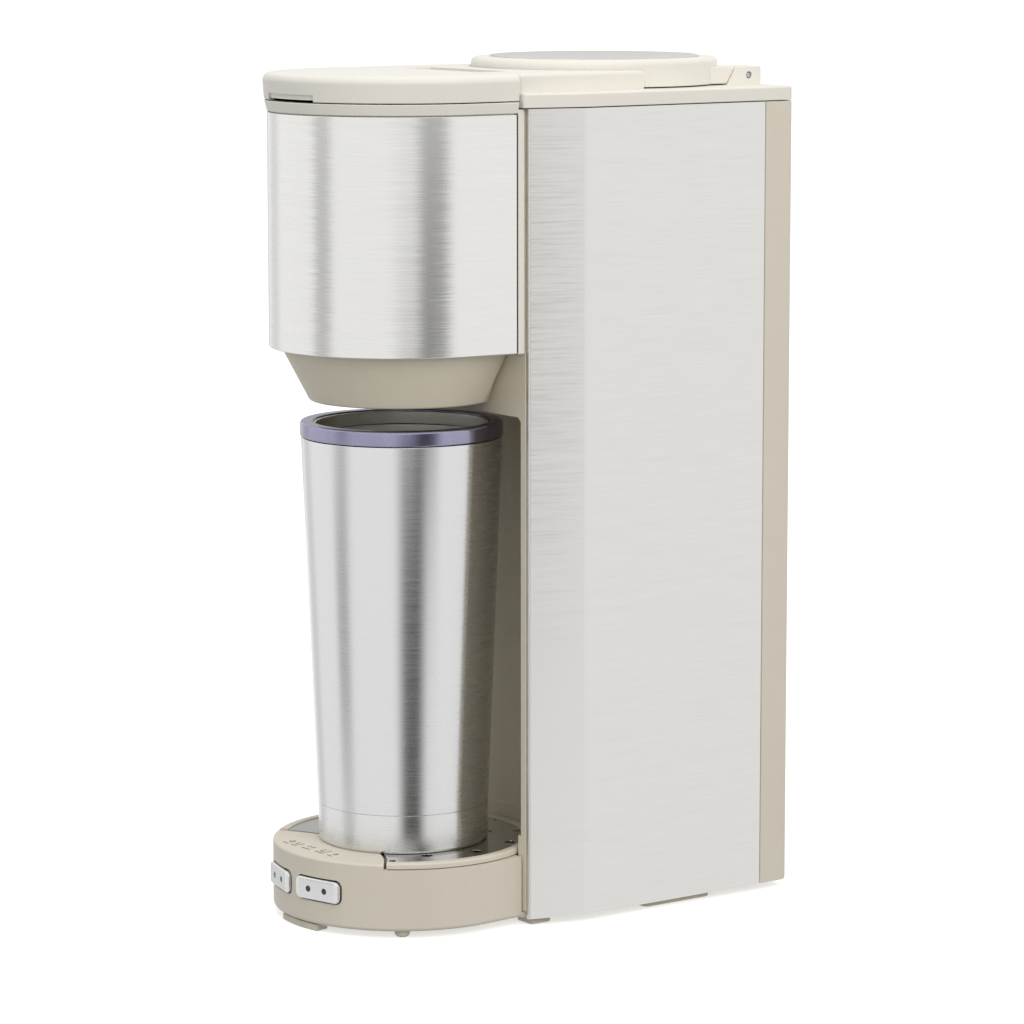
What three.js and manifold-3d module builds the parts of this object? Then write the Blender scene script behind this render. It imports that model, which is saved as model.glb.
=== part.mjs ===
// A single-serve drip coffee maker with its own steel travel mug.
// Millimetres, +Z up. The front of the machine faces -Y and X is its left-right symmetry axis.
// The part's origin is the middle of its footprint, on the surface that it stands on.
import * as THREE from 'three';
import { mergeVertices } from 'three/addons/utils/BufferGeometryUtils.js';
import Module from 'manifold-3d';

const wasm = await Module();
wasm.setup();

// ---- Driving dimensions -----------------------------------------------------------------------
const GAP = 0.35;                 // assembly gap between neighbouring pieces

// Heights above the table
const FOOT_H = 2.5;
const BODY_BOTTOM = 2.8;
const PANEL_TOP = 307.6;
const DECK_TOP = 313.3;           // top of the flange that caps the tower
const PLATFORM_TOP = 320.3;       // raised part of the deck, level with the brew lid
const TANK_LID_TOP = 324.1;

// Tower: Y = 0 is its front face
const FRONT_HALF = 53.2;          // half width at the front edge of the side panels
const TOWER_HALF = 59.3;          // half width behind the bend in the side panels
const BEND_Y = 22.7;
const PANEL_BACK = 107.1;
const TOWER_BACK = 122;
const REAR_CORNER_R = 4;
const PANEL_T = 1;
const PANEL_FOLD = 2;             // the front edge of each panel is folded in towards the frame
const WALL = 2.2;
const TOE_R = 3;                  // rounding of the lower rear edge
const SCREW_PLACES = [[-30, -36], [30, -36], [-44, 98], [44, 98]];
const VENTS = { pitch: 9, width: 3, front: 58, back: 92 };

// Cord gland in its pocket in the rear cover
const CORD_X = 36;
const CORD_Z = 22;
const CORD_POCKET = 20;
const CORD_BORE_R = 2.6;

// Mug axis, which the head, the funnel, the bay and the base are round about
const AXIS_Y = -21;
const HEAD_R = 50.6;
const HEAD_BOTTOM = 217.3;
const WRAP_TOP = 305.6;
const HEAD_TOP = 310.1;
const WRAP_T = 0.8;
const WRAP_BACK = -4.5;
const COLLAR_HALF = 51.2;         // flat back of the head shell, against the tower
const COLLAR_FRONT = -3.8;
const COLLAR_BACK = -0.4;
const FUNNEL_TOP_R = 45;
const FUNNEL_BOTTOM_R = 34.7;
const FUNNEL_BOTTOM = 197.2;

// Mug bay in the front of the tower
const BAY_R = 52;
const BAY_TOP = 193;
const BAY_FLOOR = 12.2;
const BAY_LEDGE_R = 50.4;
const BAY_LEDGE_TOP = 34;
const BAY_CORNER = 6.6;           // bevel of the bay's upper corners

// Base, drip tray and drip plate
const BASE_R = 50.6;
const BASE_SIDE = 48.6;
const BASE_BEVEL = 1.6;
const BASE_TOP = 26.3;
const DECK_LEVEL = 28.4;          // button deck and drip plate are level, so the mug slides off
const TRAY_RING_TOP = 28.9;
const TRAY_R = 50;
const TRAY_BOTTOM = 13;
const PLATE_R = 45.5;
const PLATE_T = 1;
const LENS_Y = -99;               // centre of the arc between the button deck and the drip plate
const LENS_R = 57;
const HOLE_RING_Y = -14;          // centre of the rings of holes in the drip plate
const HOLE_RINGS = [              // first and last angle in degrees
  { ring: 38.4, r: 1.65, from: -30, to: 210, step: 30 },
  { ring: 27.6, r: 0.95, from: -30, to: 210, step: 30 },
  { ring: 15, r: 1.65, from: 0, to: 300, step: 60 },
];
const LIFT_SLOT = { from: -39.6, to: -37.6, inner: 41, outer: 45.2 };

// Buttons
const BUTTON_ANGLE = 15;          // degrees to each side of the front
const BUTTON_W = 22.2;
const BUTTON_H = 8.4;
const BUTTON_Z = 16.4;
const BUTTON_R = 51.4;
const BUTTON_CORNER = 2.4;
const BUTTON_GAP = 0.5;
const WINDOW_OFFSET = 4;
const WINDOW_R = 0.95;
const BUTTON_T = 2.6;

// Lids and their hinges
const LID_R = 52.8;
const LID_BOTTOM = 310.5;
const LID_EDGE = 3;
const LID_T = 2.6;
const LID_BACK = -2.9;
const NOTCH_ANGLE = 15.5;
const BREW_HINGE = { y: 3, z: 317.6, half: 24.5, pinHalf: 33, barrelR: 2.2 };
const TANK_LID_R = 47.6;
const TANK_Y = 70;
const TANK_LID_BACK = 111.5;
const TANK_HINGE = { y: 114.5, z: 316.9, half: 25.2, pinHalf: 39.6, barrelR: 3.1 };
const PLATFORM_CHAMFER = 1.2;     // front edge of the platform, clear of the lid as it turns
const PIN_R = 1.05;
const BORE_R = 1.4;
const LUG_HALF = 40;
const LUG_INNER = 26;
const INLAY_R = 40;
const FILL_R = 33;
const FILL_Y = 68;

// Filter basket and water path
const BASKET_Y = -35;
const NOZZLE_Z = 296;
const NOZZLE_Y = -10;
const NOZZLE_R = 3.4;
const TANK_W = 100;
const TANK_D = 64;
const TANK_BOTTOM = 168;
const TANK_TOP = 307.3;
const BOILER_Y = 66;
const BOILER_Z = 34;
const BOILER_TOP = 50;
const STUB_X = 20;                // the boiler's inlet and outlet
const STUB_TOP = 60;
const HOSE_GAP = 0.4;

// Travel mug
const MUG_BOTTOM = 28.7;
const MUG_TOP = 189.2;
const MUG_RIM_R = 38.4;
const MUG_SEAM_Z = 42.8;
const MUG_SEAM_R = 32.6;
const MUG_WALL = 0.9;
const COLLAR_BOTTOM = 183.6;

const SEGMENTS = 32;              // round pieces
const ROUND = 44;                 // round pieces that show most
const FINE = 10;                  // small round pieces
const FAR = 80;                   // cutting bodies reach past the machine's sides

// The whole machine is built about the tower's front face and then centred on its footprint.
const FRONT_Y = AXIS_Y - LID_R;
const CENTRE_Y = (FRONT_Y + TOWER_BACK) / 2;

// ---- Materials --------------------------------------------------------------------------------
function finish(colour, roughness, metalness) {
  return () => new THREE.MeshStandardMaterial({ color: colour, roughness, metalness });
}
const CREAM = finish('#dfdbce', 0.45, 0);
const CREAM_DARK = finish('#cdc6b6', 0.5, 0);
const BRUSHED = finish('#d2d1ce', 0.32, 1);
const POLISHED = finish('#cfcfd2', 0.16, 1);
const VIOLET = finish('#a6a0cf', 0.2, 1);
const BLACK = finish('#17181a', 0.3, 0);
const RUBBER = finish('#c3bcab', 0.8, 0);
const SILICONE = finish('#e4e2dc', 0.6, 0);
const CLEAR = finish('#c9d6d8', 0.15, 0);
const ALUMINIUM = finish('#b4b6b8', 0.4, 1);
const BOARD = finish('#2f6b46', 0.6, 0);
const ZINC = finish('#a9abad', 0.35, 1);
const CHARCOAL = finish('#3a3a38', 0.5, 0);

// ---- Solids -----------------------------------------------------------------------------------
function signedVolume(points, index) {
  const a = new THREE.Vector3();
  const b = new THREE.Vector3();
  const c = new THREE.Vector3();
  let volume = 0;
  for (let i = 0; i < index.length; i += 3) {
    a.fromArray(points, index[i] * 3);
    b.fromArray(points, index[i + 1] * 3);
    c.fromArray(points, index[i + 2] * 3);
    volume += a.dot(b.cross(c)) / 6;
  }
  return volume;
}

// Turns a closed three.js geometry into a solid whose faces point outwards.
function solid(geometry) {
  const bare = geometry.clone();
  bare.deleteAttribute('normal');
  bare.deleteAttribute('uv');
  const merged = mergeVertices(bare, 1e-4);
  const points = new Float32Array(merged.attributes.position.array);
  const index = [];
  for (let i = 0; i < merged.index.count; i += 3) {
    const [a, b, c] = [0, 1, 2].map((k) => merged.index.getX(i + k));
    if (a !== b && b !== c && c !== a) index.push(a, b, c);
  }
  if (signedVolume(points, index) < 0) {
    for (let i = 0; i < index.length; i += 3) [index[i], index[i + 1]] = [index[i + 1], index[i]];
  }
  const mesh = new wasm.Mesh({ numProp: 3, vertProperties: points, triVerts: new Uint32Array(index) });
  return new wasm.Manifold(mesh);
}

function join(...solids) {
  return solids.reduce((sum, next) => sum.add(next));
}

function cut(body, ...tools) {
  return tools.reduce((rest, tool) => rest.subtract(tool), body);
}

function toGeometry(manifold) {
  const mesh = manifold.getMesh();
  const geometry = new THREE.BufferGeometry();
  geometry.setAttribute('position', new THREE.BufferAttribute(mesh.vertProperties, 3));
  geometry.setIndex(new THREE.BufferAttribute(mesh.triVerts, 1));
  geometry.computeVertexNormals();
  return geometry;
}

// ---- Outlines and simple bodies ---------------------------------------------------------------
const rad = THREE.MathUtils.degToRad;
const SIDES = [['left', -1], ['right', 1]];

function arc(cx, cy, r, from, to, steps) {
  return Array.from({ length: steps + 1 }, (_, i) => {
    const angle = rad(from + ((to - from) * i) / steps);
    return [cx + r * Math.cos(angle), cy + r * Math.sin(angle)];
  });
}

function mirrored(rightSide) {
  return [...rightSide, ...rightSide.map(([x, y]) => [-x, y]).reverse()];
}

// A prism from an outline in X and Y.
function prism(outline, z0, z1) {
  const shape = new THREE.Shape(outline.map(([x, y]) => new THREE.Vector2(x, y)));
  const geometry = new THREE.ExtrudeGeometry(shape, { depth: z1 - z0, bevelEnabled: false });
  return solid(geometry.translate(0, 0, z0));
}

// A prism along X from an outline in Y and Z.
function prismX(outline, x0, x1) {
  const shape = new THREE.Shape(outline.map(([y, z]) => new THREE.Vector2(y, z)));
  const geometry = new THREE.ExtrudeGeometry(shape, { depth: x1 - x0, bevelEnabled: false });
  geometry.rotateX(Math.PI / 2).rotateZ(Math.PI / 2);
  return solid(geometry.translate(x0, 0, 0));
}

// A prism along Y from an outline in X and Z.
function prismY(outline, y0, y1) {
  const shape = new THREE.Shape(outline.map(([x, z]) => new THREE.Vector2(x, -z)));
  const geometry = new THREE.ExtrudeGeometry(shape, { depth: y1 - y0, bevelEnabled: false });
  return solid(geometry.rotateX(-Math.PI / 2).translate(0, y0, 0));
}

function box(x0, x1, y0, y1, z0, z1) {
  const geometry = new THREE.BoxGeometry(x1 - x0, y1 - y0, z1 - z0);
  return solid(geometry.translate((x0 + x1) / 2, (y0 + y1) / 2, (z0 + z1) / 2));
}

function rod(x, y, r, z0, z1, segments = FINE) {
  const geometry = new THREE.CylinderGeometry(r, r, z1 - z0, segments);
  return solid(geometry.rotateX(Math.PI / 2).translate(x, y, (z0 + z1) / 2));
}

function rodX(y, z, r, x0, x1, segments = FINE) {
  const geometry = new THREE.CylinderGeometry(r, r, x1 - x0, segments);
  return solid(geometry.rotateZ(Math.PI / 2).translate((x0 + x1) / 2, y, z));
}

function rodY(x, z, r, y0, y1, segments = FINE) {
  const geometry = new THREE.CylinderGeometry(r, r, y1 - y0, segments);
  return solid(geometry.translate(x, (y0 + y1) / 2, z));
}

// A turned body about a vertical axis, from a closed outline in radius and height.
function turned(profile, y = AXIS_Y, segments = SEGMENTS) {
  const closed = profile[0][0] === 0 ? profile : [...profile, profile[0]];
  const points = closed.map(([r, z]) => new THREE.Vector2(r, z));
  return solid(new THREE.LatheGeometry(points, segments).rotateX(Math.PI / 2).translate(0, y, 0));
}

// The range between two distances from the middle, on one side of the machine.
function span(side, inner, outer) {
  return side > 0 ? [inner, outer] : [-outer, -inner];
}

// A soft round hose along a smooth path.
function hose(points, radius, steps) {
  const path = new THREE.CatmullRomCurve3(points.map((p) => new THREE.Vector3(...p)));
  const circle = arc(0, 0, radius, 0, 300, 5).map(([x, y]) => new THREE.Vector2(x, y));
  const options = { steps, bevelEnabled: false, extrudePath: path };
  return solid(new THREE.ExtrudeGeometry(new THREE.Shape(circle), options));
}

// The round front with straight sides that the head, its rim, its lid and the base share.
function roundFront(r, sideX, backY, steps = SEGMENTS) {
  return [[-sideX, backY], ...arc(0, AXIS_Y, r, -180, 0, steps), [sideX, backY]];
}

function roundedRect(width, height, r) {
  const [w, h] = [width / 2 - r, height / 2 - r];
  const corners = [[w, h, 0], [-w, h, 90], [-w, -h, 180], [w, -h, 270]];
  return corners.flatMap(([x, y, from]) => arc(x, y, r, from, from + 90, 4));
}

// The round body whose edge parts the button deck from the drip plate.
const lens = (extra) => rod(0, LENS_Y, LENS_R + extra, 0, 60, ROUND);

// All that lies behind a plane across the machine.
const behind = (y) => box(-FAR, FAR, y, 2 * FAR, 0, 400);

const machine = new THREE.Group();
machine.position.set(0, -CENTRE_Y, 0);

function place(name, body, material, group = machine) {
  const mesh = new THREE.Mesh(toGeometry(body), material());
  mesh.name = name;
  group.add(mesh);
}

// ---- Tower ------------------------------------------------------------------------------------
function towerSide(inset) {
  return [[FRONT_HALF - inset, inset], [TOWER_HALF - inset, BEND_Y + inset / 3]];
}

function sidePanel(side) {
  const outer = [[FRONT_HALF - PANEL_FOLD, 0], [FRONT_HALF - 0.4, 0], ...towerSide(0).slice(1)];
  const inner = [[TOWER_HALF - PANEL_T, PANEL_BACK], ...towerSide(PANEL_T).reverse()];
  const outline = [...outer, [TOWER_HALF, PANEL_BACK], ...inner, [FRONT_HALF - PANEL_FOLD, PANEL_T]];
  return prism(outline.map(([x, y]) => [side * x, y]), BODY_BOTTOM, PANEL_TOP);
}

function bayVoid() {
  const [side, top] = [BAY_R * 1.1, BAY_TOP + 0.5];
  const chamfer = (s) => prismY([
    [s * (BAY_R - BAY_CORNER), top], [s * side, top], [s * side, top - (side - BAY_R + BAY_CORNER)],
  ], -1, 40);
  const upper = rod(0, AXIS_Y, BAY_R, BAY_LEDGE_TOP, BAY_TOP, ROUND);
  const lower = rod(0, AXIS_Y, BAY_LEDGE_R, BAY_FLOOR, BAY_LEDGE_TOP, ROUND);
  return join(cut(upper, chamfer(1), chamfer(-1)), lower);
}

function towerFrame() {
  const bottom = BODY_BOTTOM + WALL + GAP;
  const step = PANEL_T + GAP;
  const inFold = FRONT_HALF - PANEL_FOLD - GAP;
  const back = PANEL_BACK - GAP;
  const inset = towerSide(step);
  const outer = mirrored([[inFold, 0], [inFold, step], ...inset, [TOWER_HALF - step, back]]);
  const inner = mirrored([...towerSide(step + WALL), [TOWER_HALF - step - WALL, back + 1]]);
  const shell = cut(prism(outer, bottom, PANEL_TOP), prism(inner, bottom - 1, PANEL_TOP + 1));
  const bay = cut(
    rod(0, AXIS_Y, BAY_R + WALL, BAY_FLOOR - WALL, BAY_TOP + WALL, ROUND),
    box(-FAR, FAR, -100, WALL / 2, 0, 400),
  );
  return cut(
    join(shell, bay),
    bayVoid(),
    box(-30, 30, -1, WALL + 0.5, bottom - 1, 9),
    rodY(0, NOZZLE_Z, 5, -1, 5),
  );
}

function rearCover() {
  const outline = (inset, front) => mirrored([
    [TOWER_HALF - inset, front],
    ...arc(TOWER_HALF - REAR_CORNER_R, TOWER_BACK - REAR_CORNER_R, REAR_CORNER_R - inset, 0, 90, 4),
  ]);
  const front = PANEL_BACK + GAP;
  const shell = cut(
    prism(outline(0, front), BODY_BOTTOM, PANEL_TOP),
    prism(outline(WALL, front - 1), BODY_BOTTOM + WALL, PANEL_TOP + 1),
  );
  const edge = arc(TOWER_BACK - TOE_R, BODY_BOTTOM + TOE_R, TOE_R, -90, 0, 4);
  const toe = prismX([...edge, [TOWER_BACK + 1, BODY_BOTTOM - 1]], -FAR, FAR);
  const cordBlock = (half, y0, y1) => box(CORD_X - half, CORD_X + half, y0, y1, CORD_Z - half, CORD_Z + half);
  const floor = TOWER_BACK - 3;
  const pocket = cordBlock(CORD_POCKET / 2, floor, TOWER_BACK + 1);
  const pocketWall = cordBlock(CORD_POCKET / 2 + 2, floor - WALL, TOWER_BACK - WALL / 2);
  return cut(join(shell, pocketWall), toe, pocket, rodY(CORD_X, CORD_Z, 5, TOWER_BACK - 8, TOWER_BACK, 20));
}

// ---- Top deck, tank lid and their hinges --------------------------------------------------------
function slantedFace(offset) {    // the sloping split between the tank lid and its hinge lugs
  const foot = TANK_HINGE.y - 11.4 + offset;
  return [[foot - 1.5, DECK_TOP - 2], [foot + 9.2, TANK_LID_TOP + 4]];
}

function topDeck() {
  const flangeFront = -2.4;
  const flange = prism(mirrored([
    [FRONT_HALF, flangeFront], ...towerSide(0).slice(1),
    ...arc(TOWER_HALF - REAR_CORNER_R, TOWER_BACK - REAR_CORNER_R, REAR_CORNER_R, 0, 90, 4),
  ]), PANEL_TOP + GAP, DECK_TOP);
  const platform = cut(
    prism(mirrored([[50.8, flangeFront], [48.1, 57]]), DECK_TOP - 1, PLATFORM_TOP),
    rod(0, TANK_Y, TANK_LID_R + 0.6, DECK_TOP, PLATFORM_TOP + 1, ROUND),
  );
  const lugBack = TOWER_BACK - 1.4;
  const lug = (side) => prismX([
    ...slantedFace(0.8), [lugBack, TANK_LID_TOP + 4], [lugBack, DECK_TOP - 2],
  ], ...span(side, LUG_INNER, LUG_HALF)).intersect(box(-FAR, FAR, 0, 200, DECK_TOP - 1, PLATFORM_TOP));
  const neck = rod(0, FILL_Y, FILL_R + 2.5, DECK_TOP - 1, DECK_TOP + 4.5, SEGMENTS);
  const { half, pinHalf, barrelR } = BREW_HINGE;
  const chamfer = prismX([
    [flangeFront - 1, PLATFORM_TOP - PLATFORM_CHAMFER - 1],
    [flangeFront + PLATFORM_CHAMFER + 1, PLATFORM_TOP + 1], [flangeFront - 1, PLATFORM_TOP + 1],
  ], -FAR, FAR);
  return cut(
    join(flange, platform, lug(1), lug(-1), neck),
    rod(0, FILL_Y, FILL_R, 300, 330, SEGMENTS),
    chamfer,
    box(-half - 0.5, half + 0.5, flangeFront - 1, 10.5, BREW_HINGE.z - barrelR - 0.5, 330),
    rodX(BREW_HINGE.y, BREW_HINGE.z, BORE_R, -pinHalf - GAP, pinHalf + GAP),
    rodX(TANK_HINGE.y, TANK_HINGE.z, BORE_R, -LUG_HALF - 1, LUG_HALF + 1),
  );
}

function brewLid() {
  const blankOutline = roundFront(LID_R - LID_EDGE, LID_R - LID_EDGE, 12);
  const shape = new THREE.Shape(blankOutline.map(([x, y]) => new THREE.Vector2(x, y)));
  const blank = new THREE.ExtrudeGeometry(shape, {
    depth: 10, bevelSize: LID_EDGE, bevelThickness: LID_EDGE, bevelSegments: 3,
  });
  const inner = HEAD_R - 0.6;
  const shell = cut(
    solid(blank.translate(0, 0, PLATFORM_TOP - 10 - LID_EDGE)),
    behind(LID_BACK),
    box(-FAR, FAR, -100, 60, 0, LID_BOTTOM),
    prism(roundFront(inner, inner, LID_BACK - WALL), LID_BOTTOM - 1, PLATFORM_TOP - LID_T),
  );
  const { y, z, half, barrelR } = BREW_HINGE;
  const web = box(-half, half, LID_BACK - WALL, y, z - 1.6, PLATFORM_TOP - 0.5);
  const grip = cut(
    rod(0, AXIS_Y, LID_R + 2, LID_BOTTOM - 1, LID_BOTTOM + 2.6, SEGMENTS),
    rod(0, AXIS_Y, LID_R - 1.2, LID_BOTTOM - 2, LID_BOTTOM + 4, SEGMENTS),
  ).intersect(prism([
    [0, AXIS_Y], ...arc(0, AXIS_Y, 70, -90 - NOTCH_ANGLE, -90 + NOTCH_ANGLE, 2),
  ], 300, 330));
  return cut(join(shell, web, rodX(y, z, barrelR, -half, half, 16)), grip,
    rodX(y, z, BORE_R, -half - 1, half + 1));
}

function tankLid() {
  const r = TANK_LID_R;
  const bottom = DECK_TOP + 0.5;
  const cap = turned([
    [0, bottom], [r, bottom], [r, TANK_LID_TOP - 2.4], [r - 0.7, TANK_LID_TOP - 0.7],
    [r - 2.4, TANK_LID_TOP], [INLAY_R + 0.4, TANK_LID_TOP], [INLAY_R + 0.4, TANK_LID_TOP - 0.7],
    [0, TANK_LID_TOP - 0.7],
  ], TANK_Y, 40);
  const { y, z, half, barrelR } = TANK_HINGE;
  const tongue = box(-LUG_HALF, LUG_HALF, 92, 109, bottom, PLATFORM_TOP);
  const hollow = rod(0, TANK_Y, r - WALL, bottom - 1, TANK_LID_TOP - 3, SEGMENTS)
    .subtract(behind(TANK_LID_BACK - WALL));
  const behindSlope = [...slantedFace(0), [140, TANK_LID_TOP + 4], [140, DECK_TOP - 2]];
  const sides = [-1, 1].map((side) => prismX(behindSlope, ...span(side, half + 0.4, FAR)));
  const body = cut(join(cap, tongue), behind(TANK_LID_BACK), ...sides);
  const web = box(-half, half, TANK_LID_BACK - WALL, y, z - 2.4, z + 2.8);
  return cut(join(cut(body, hollow), web, rodX(y, z, barrelR, -half, half, 16)),
    rodX(y, z, BORE_R, -half - 1, half + 1));
}

const hingePin = ({ y, z, pinHalf }) => rodX(y, z, PIN_R, -pinHalf, pinHalf);

// ---- Brew head ----------------------------------------------------------------------------------
function headShell() {
  const seat = HEAD_R - WRAP_T - GAP;         // the wrap lies round it
  const inner = seat - WALL;
  const rimBottom = WRAP_TOP + GAP;
  const lower = prism(roundFront(seat, seat + 0.8, COLLAR_FRONT), HEAD_BOTTOM, rimBottom);
  const rim = prism(roundFront(HEAD_R, HEAD_R + 0.6, COLLAR_FRONT), rimBottom, HEAD_TOP);
  const collar = box(-COLLAR_HALF, COLLAR_HALF, COLLAR_FRONT, COLLAR_BACK, HEAD_BOTTOM, PANEL_TOP - 0.2);
  return cut(
    join(lower, rim, collar),
    prism(roundFront(inner, inner + 0.6, COLLAR_FRONT - WALL), HEAD_BOTTOM + WALL, 320),
    rod(0, BASKET_Y, 24.3, 210, 230, SEGMENTS),
    rodY(0, NOZZLE_Z, 4, -7, 1),
  );
}

function headWrap() {
  return cut(
    prism(roundFront(HEAD_R, HEAD_R + 0.8, WRAP_BACK), HEAD_BOTTOM + 0.3, WRAP_TOP),
    prism(roundFront(HEAD_R - WRAP_T, HEAD_R, WRAP_BACK + 1), HEAD_BOTTOM - 1, WRAP_TOP + 1),
  );
}

function brewFunnel() {
  const top = HEAD_BOTTOM - GAP;
  const cone = turned([
    [0, FUNNEL_BOTTOM], [FUNNEL_BOTTOM_R - 0.8, FUNNEL_BOTTOM], [FUNNEL_BOTTOM_R, FUNNEL_BOTTOM + 0.8],
    [FUNNEL_TOP_R, top], [0, top],
  ]);
  const hollow = turned([
    [0, FUNNEL_BOTTOM + WALL], [FUNNEL_BOTTOM_R - WALL, FUNNEL_BOTTOM + WALL],
    [FUNNEL_TOP_R - WALL, top + 1], [0, top + 1],
  ]);
  return cut(cone, behind(-GAP), cut(hollow, behind(-GAP - WALL)), rod(0, BASKET_Y, 5, 190, 205));
}

function filterBasket() {
  return turned([
    [1.8, 199.8], [3.2, 199.8], [3.2, 207], [20, 210.5], [23.6, HEAD_BOTTOM + WALL + GAP],
    [27.6, HEAD_BOTTOM + WALL + GAP], [28.2, 287], [28.6, 287], [28.6, 289],
    [26.4, 289], [25.8, 222], [20, 213.5], [1.8, 210],
  ], BASKET_Y, 24);
}

function meshFilter() {
  return turned([
    [0, 216], [17, 216], [24.4, 224], [25.8, 289.4], [28.4, 289.4], [28.4, 290.2],
    [25, 290.2], [23.6, 224.6], [16.6, 217], [0, 217],
  ], BASKET_Y, 24);
}

function sprayHead() {
  const top = PLATFORM_TOP - LID_T - GAP;
  const disc = turned([
    [0, 297], [18, 297], [19.5, 298.5], [19.5, 302], [6, 303], [6, top], [0, top],
  ], BASKET_Y, 24);
  const arm = box(-4, 4, -20, -8, 304.5, 311);
  const armRoot = box(-4, 4, BASKET_Y, -18, 300, 311);
  const holes = [7, 13].flatMap((ring) => Array.from({ length: 6 }, (_, i) => {
    const angle = rad(i * 60 + ring * 4);
    return rod(ring * Math.cos(angle), BASKET_Y + ring * Math.sin(angle), 0.9, 295, 300, 6);
  }));
  return cut(join(disc, arm, armRoot), ...holes);
}

// ---- Base ---------------------------------------------------------------------------------------
function buttonFrame(body, side) {
  const mesh = toGeometry(body);
  mesh.rotateZ(rad(side * BUTTON_ANGLE)).translate(0, AXIS_Y, 0);
  return solid(mesh);
}

function buttonPrism(margin, from, to) {  // along -Y, before it is turned to its angle
  const outline = roundedRect(BUTTON_W + 2 * margin, BUTTON_H + 2 * margin, BUTTON_CORNER + margin);
  return prismY(outline.map(([x, z]) => [x, z + BUTTON_Z]), -to, -from);
}

function button(side) {
  const face = buttonPrism(0, 44, 56)
    .intersect(rod(0, 0, BUTTON_R, 0, 40, 72))
    .subtract(rod(0, 0, BUTTON_R - BUTTON_T, 0, 40, 72));
  const stem = box(-2.5, 2.5, -BUTTON_R + 2.2, -44.6, BUTTON_Z - 2, BUTTON_Z + 2);
  const sockets = [-1, 1].map((s) => rodY(s * WINDOW_OFFSET, BUTTON_Z, WINDOW_R + 0.3, -60, -44));
  return buttonFrame(cut(join(face, stem), ...sockets), side);
}

function indicator(side, offset) {
  return buttonFrame(rodY(offset, BUTTON_Z, WINDOW_R, -BUTTON_R + 0.1, -BUTTON_R + 2.4), side);
}

function baseOutline(inset) {
  return roundFront(BASE_R - inset, BASE_SIDE - inset, COLLAR_BACK);
}

function baseHousing() {
  const sideBottom = BODY_BOTTOM + BASE_BEVEL;
  const foot = prism(baseOutline(BASE_BEVEL), BODY_BOTTOM, sideBottom);
  const frontDeck = prism(baseOutline(0), BASE_TOP - 1, DECK_LEVEL).intersect(lens(0));
  const frontEdge = turned([
    [BASE_R - 0.9, DECK_LEVEL + 1], [BASE_R - 0.9, DECK_LEVEL], [BASE_R, DECK_LEVEL - 0.9],
    [BASE_R + 2, DECK_LEVEL - 0.9], [BASE_R + 2, DECK_LEVEL + 1],
  ]);
  const outer = join(foot, prism(baseOutline(0), sideBottom, BASE_TOP), cut(frontDeck, frontEdge));
  const inside = (top) => prism(baseOutline(WALL + 0.4), BODY_BOTTOM - 1, top);
  const under = inside(BAY_FLOOR - WALL);
  const chamber = inside(DECK_LEVEL - WALL).intersect(lens(-WALL));
  const well = rod(0, AXIS_Y, TRAY_R - 2.2, BAY_FLOOR, 40, ROUND).subtract(lens(0));
  const buttonHoles = [-1, 1].map((side) => buttonFrame(buttonPrism(BUTTON_GAP, 40, 56), side));
  return cut(outer, under, chamber, well, ...buttonHoles);
}

function dripTray() {
  const wall = 1.6;
  const ringBottom = BASE_TOP + 0.3;
  const seat = DECK_LEVEL - PLATE_T - 0.3;    // the plate lies on it
  const bodyR = TRAY_R - 2.6;
  const blank = turned([
    [0, TRAY_BOTTOM], [bodyR, TRAY_BOTTOM], [bodyR, ringBottom], [TRAY_R, ringBottom],
    [TRAY_R, TRAY_RING_TOP - 1], [TRAY_R - 1, TRAY_RING_TOP], [PLATE_R + 1, TRAY_RING_TOP],
    [PLATE_R + 0.4, TRAY_RING_TOP - 0.6], [PLATE_R + 0.4, seat], [0, seat],
  ]);
  const basin = rod(0, AXIS_Y, PLATE_R, TRAY_BOTTOM + wall, seat - 1.5, SEGMENTS).subtract(lens(0.7 + wall));
  const mouth = rod(0, AXIS_Y, PLATE_R - 1.6, 25, 40, SEGMENTS).subtract(lens(0.7 + wall + 1.4));
  return cut(blank, lens(0.7), basin, mouth);
}

function dripPlate() {
  const plate = rod(0, AXIS_Y, PLATE_R, DECK_LEVEL - PLATE_T, DECK_LEVEL, 40).subtract(lens(1.2));
  const holes = [];
  for (const { ring, r, from, to, step } of HOLE_RINGS) {
    for (let angle = from; angle <= to; angle += step) {
      const [[x, y]] = arc(0, HOLE_RING_Y, ring, angle, angle, 1);
      holes.push(rod(x, y, r, 20, 40, 6));
    }
  }
  const liftSlot = rod(0, AXIS_Y, LIFT_SLOT.outer, 20, 40, SEGMENTS)
    .subtract(rod(0, AXIS_Y, LIFT_SLOT.inner, 10, 50, SEGMENTS))
    .intersect(prism([[0, AXIS_Y], ...arc(0, AXIS_Y, 70, LIFT_SLOT.from, LIFT_SLOT.to, 1)], 0, 60));
  return cut(plate, ...holes, liftSlot);
}

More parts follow.
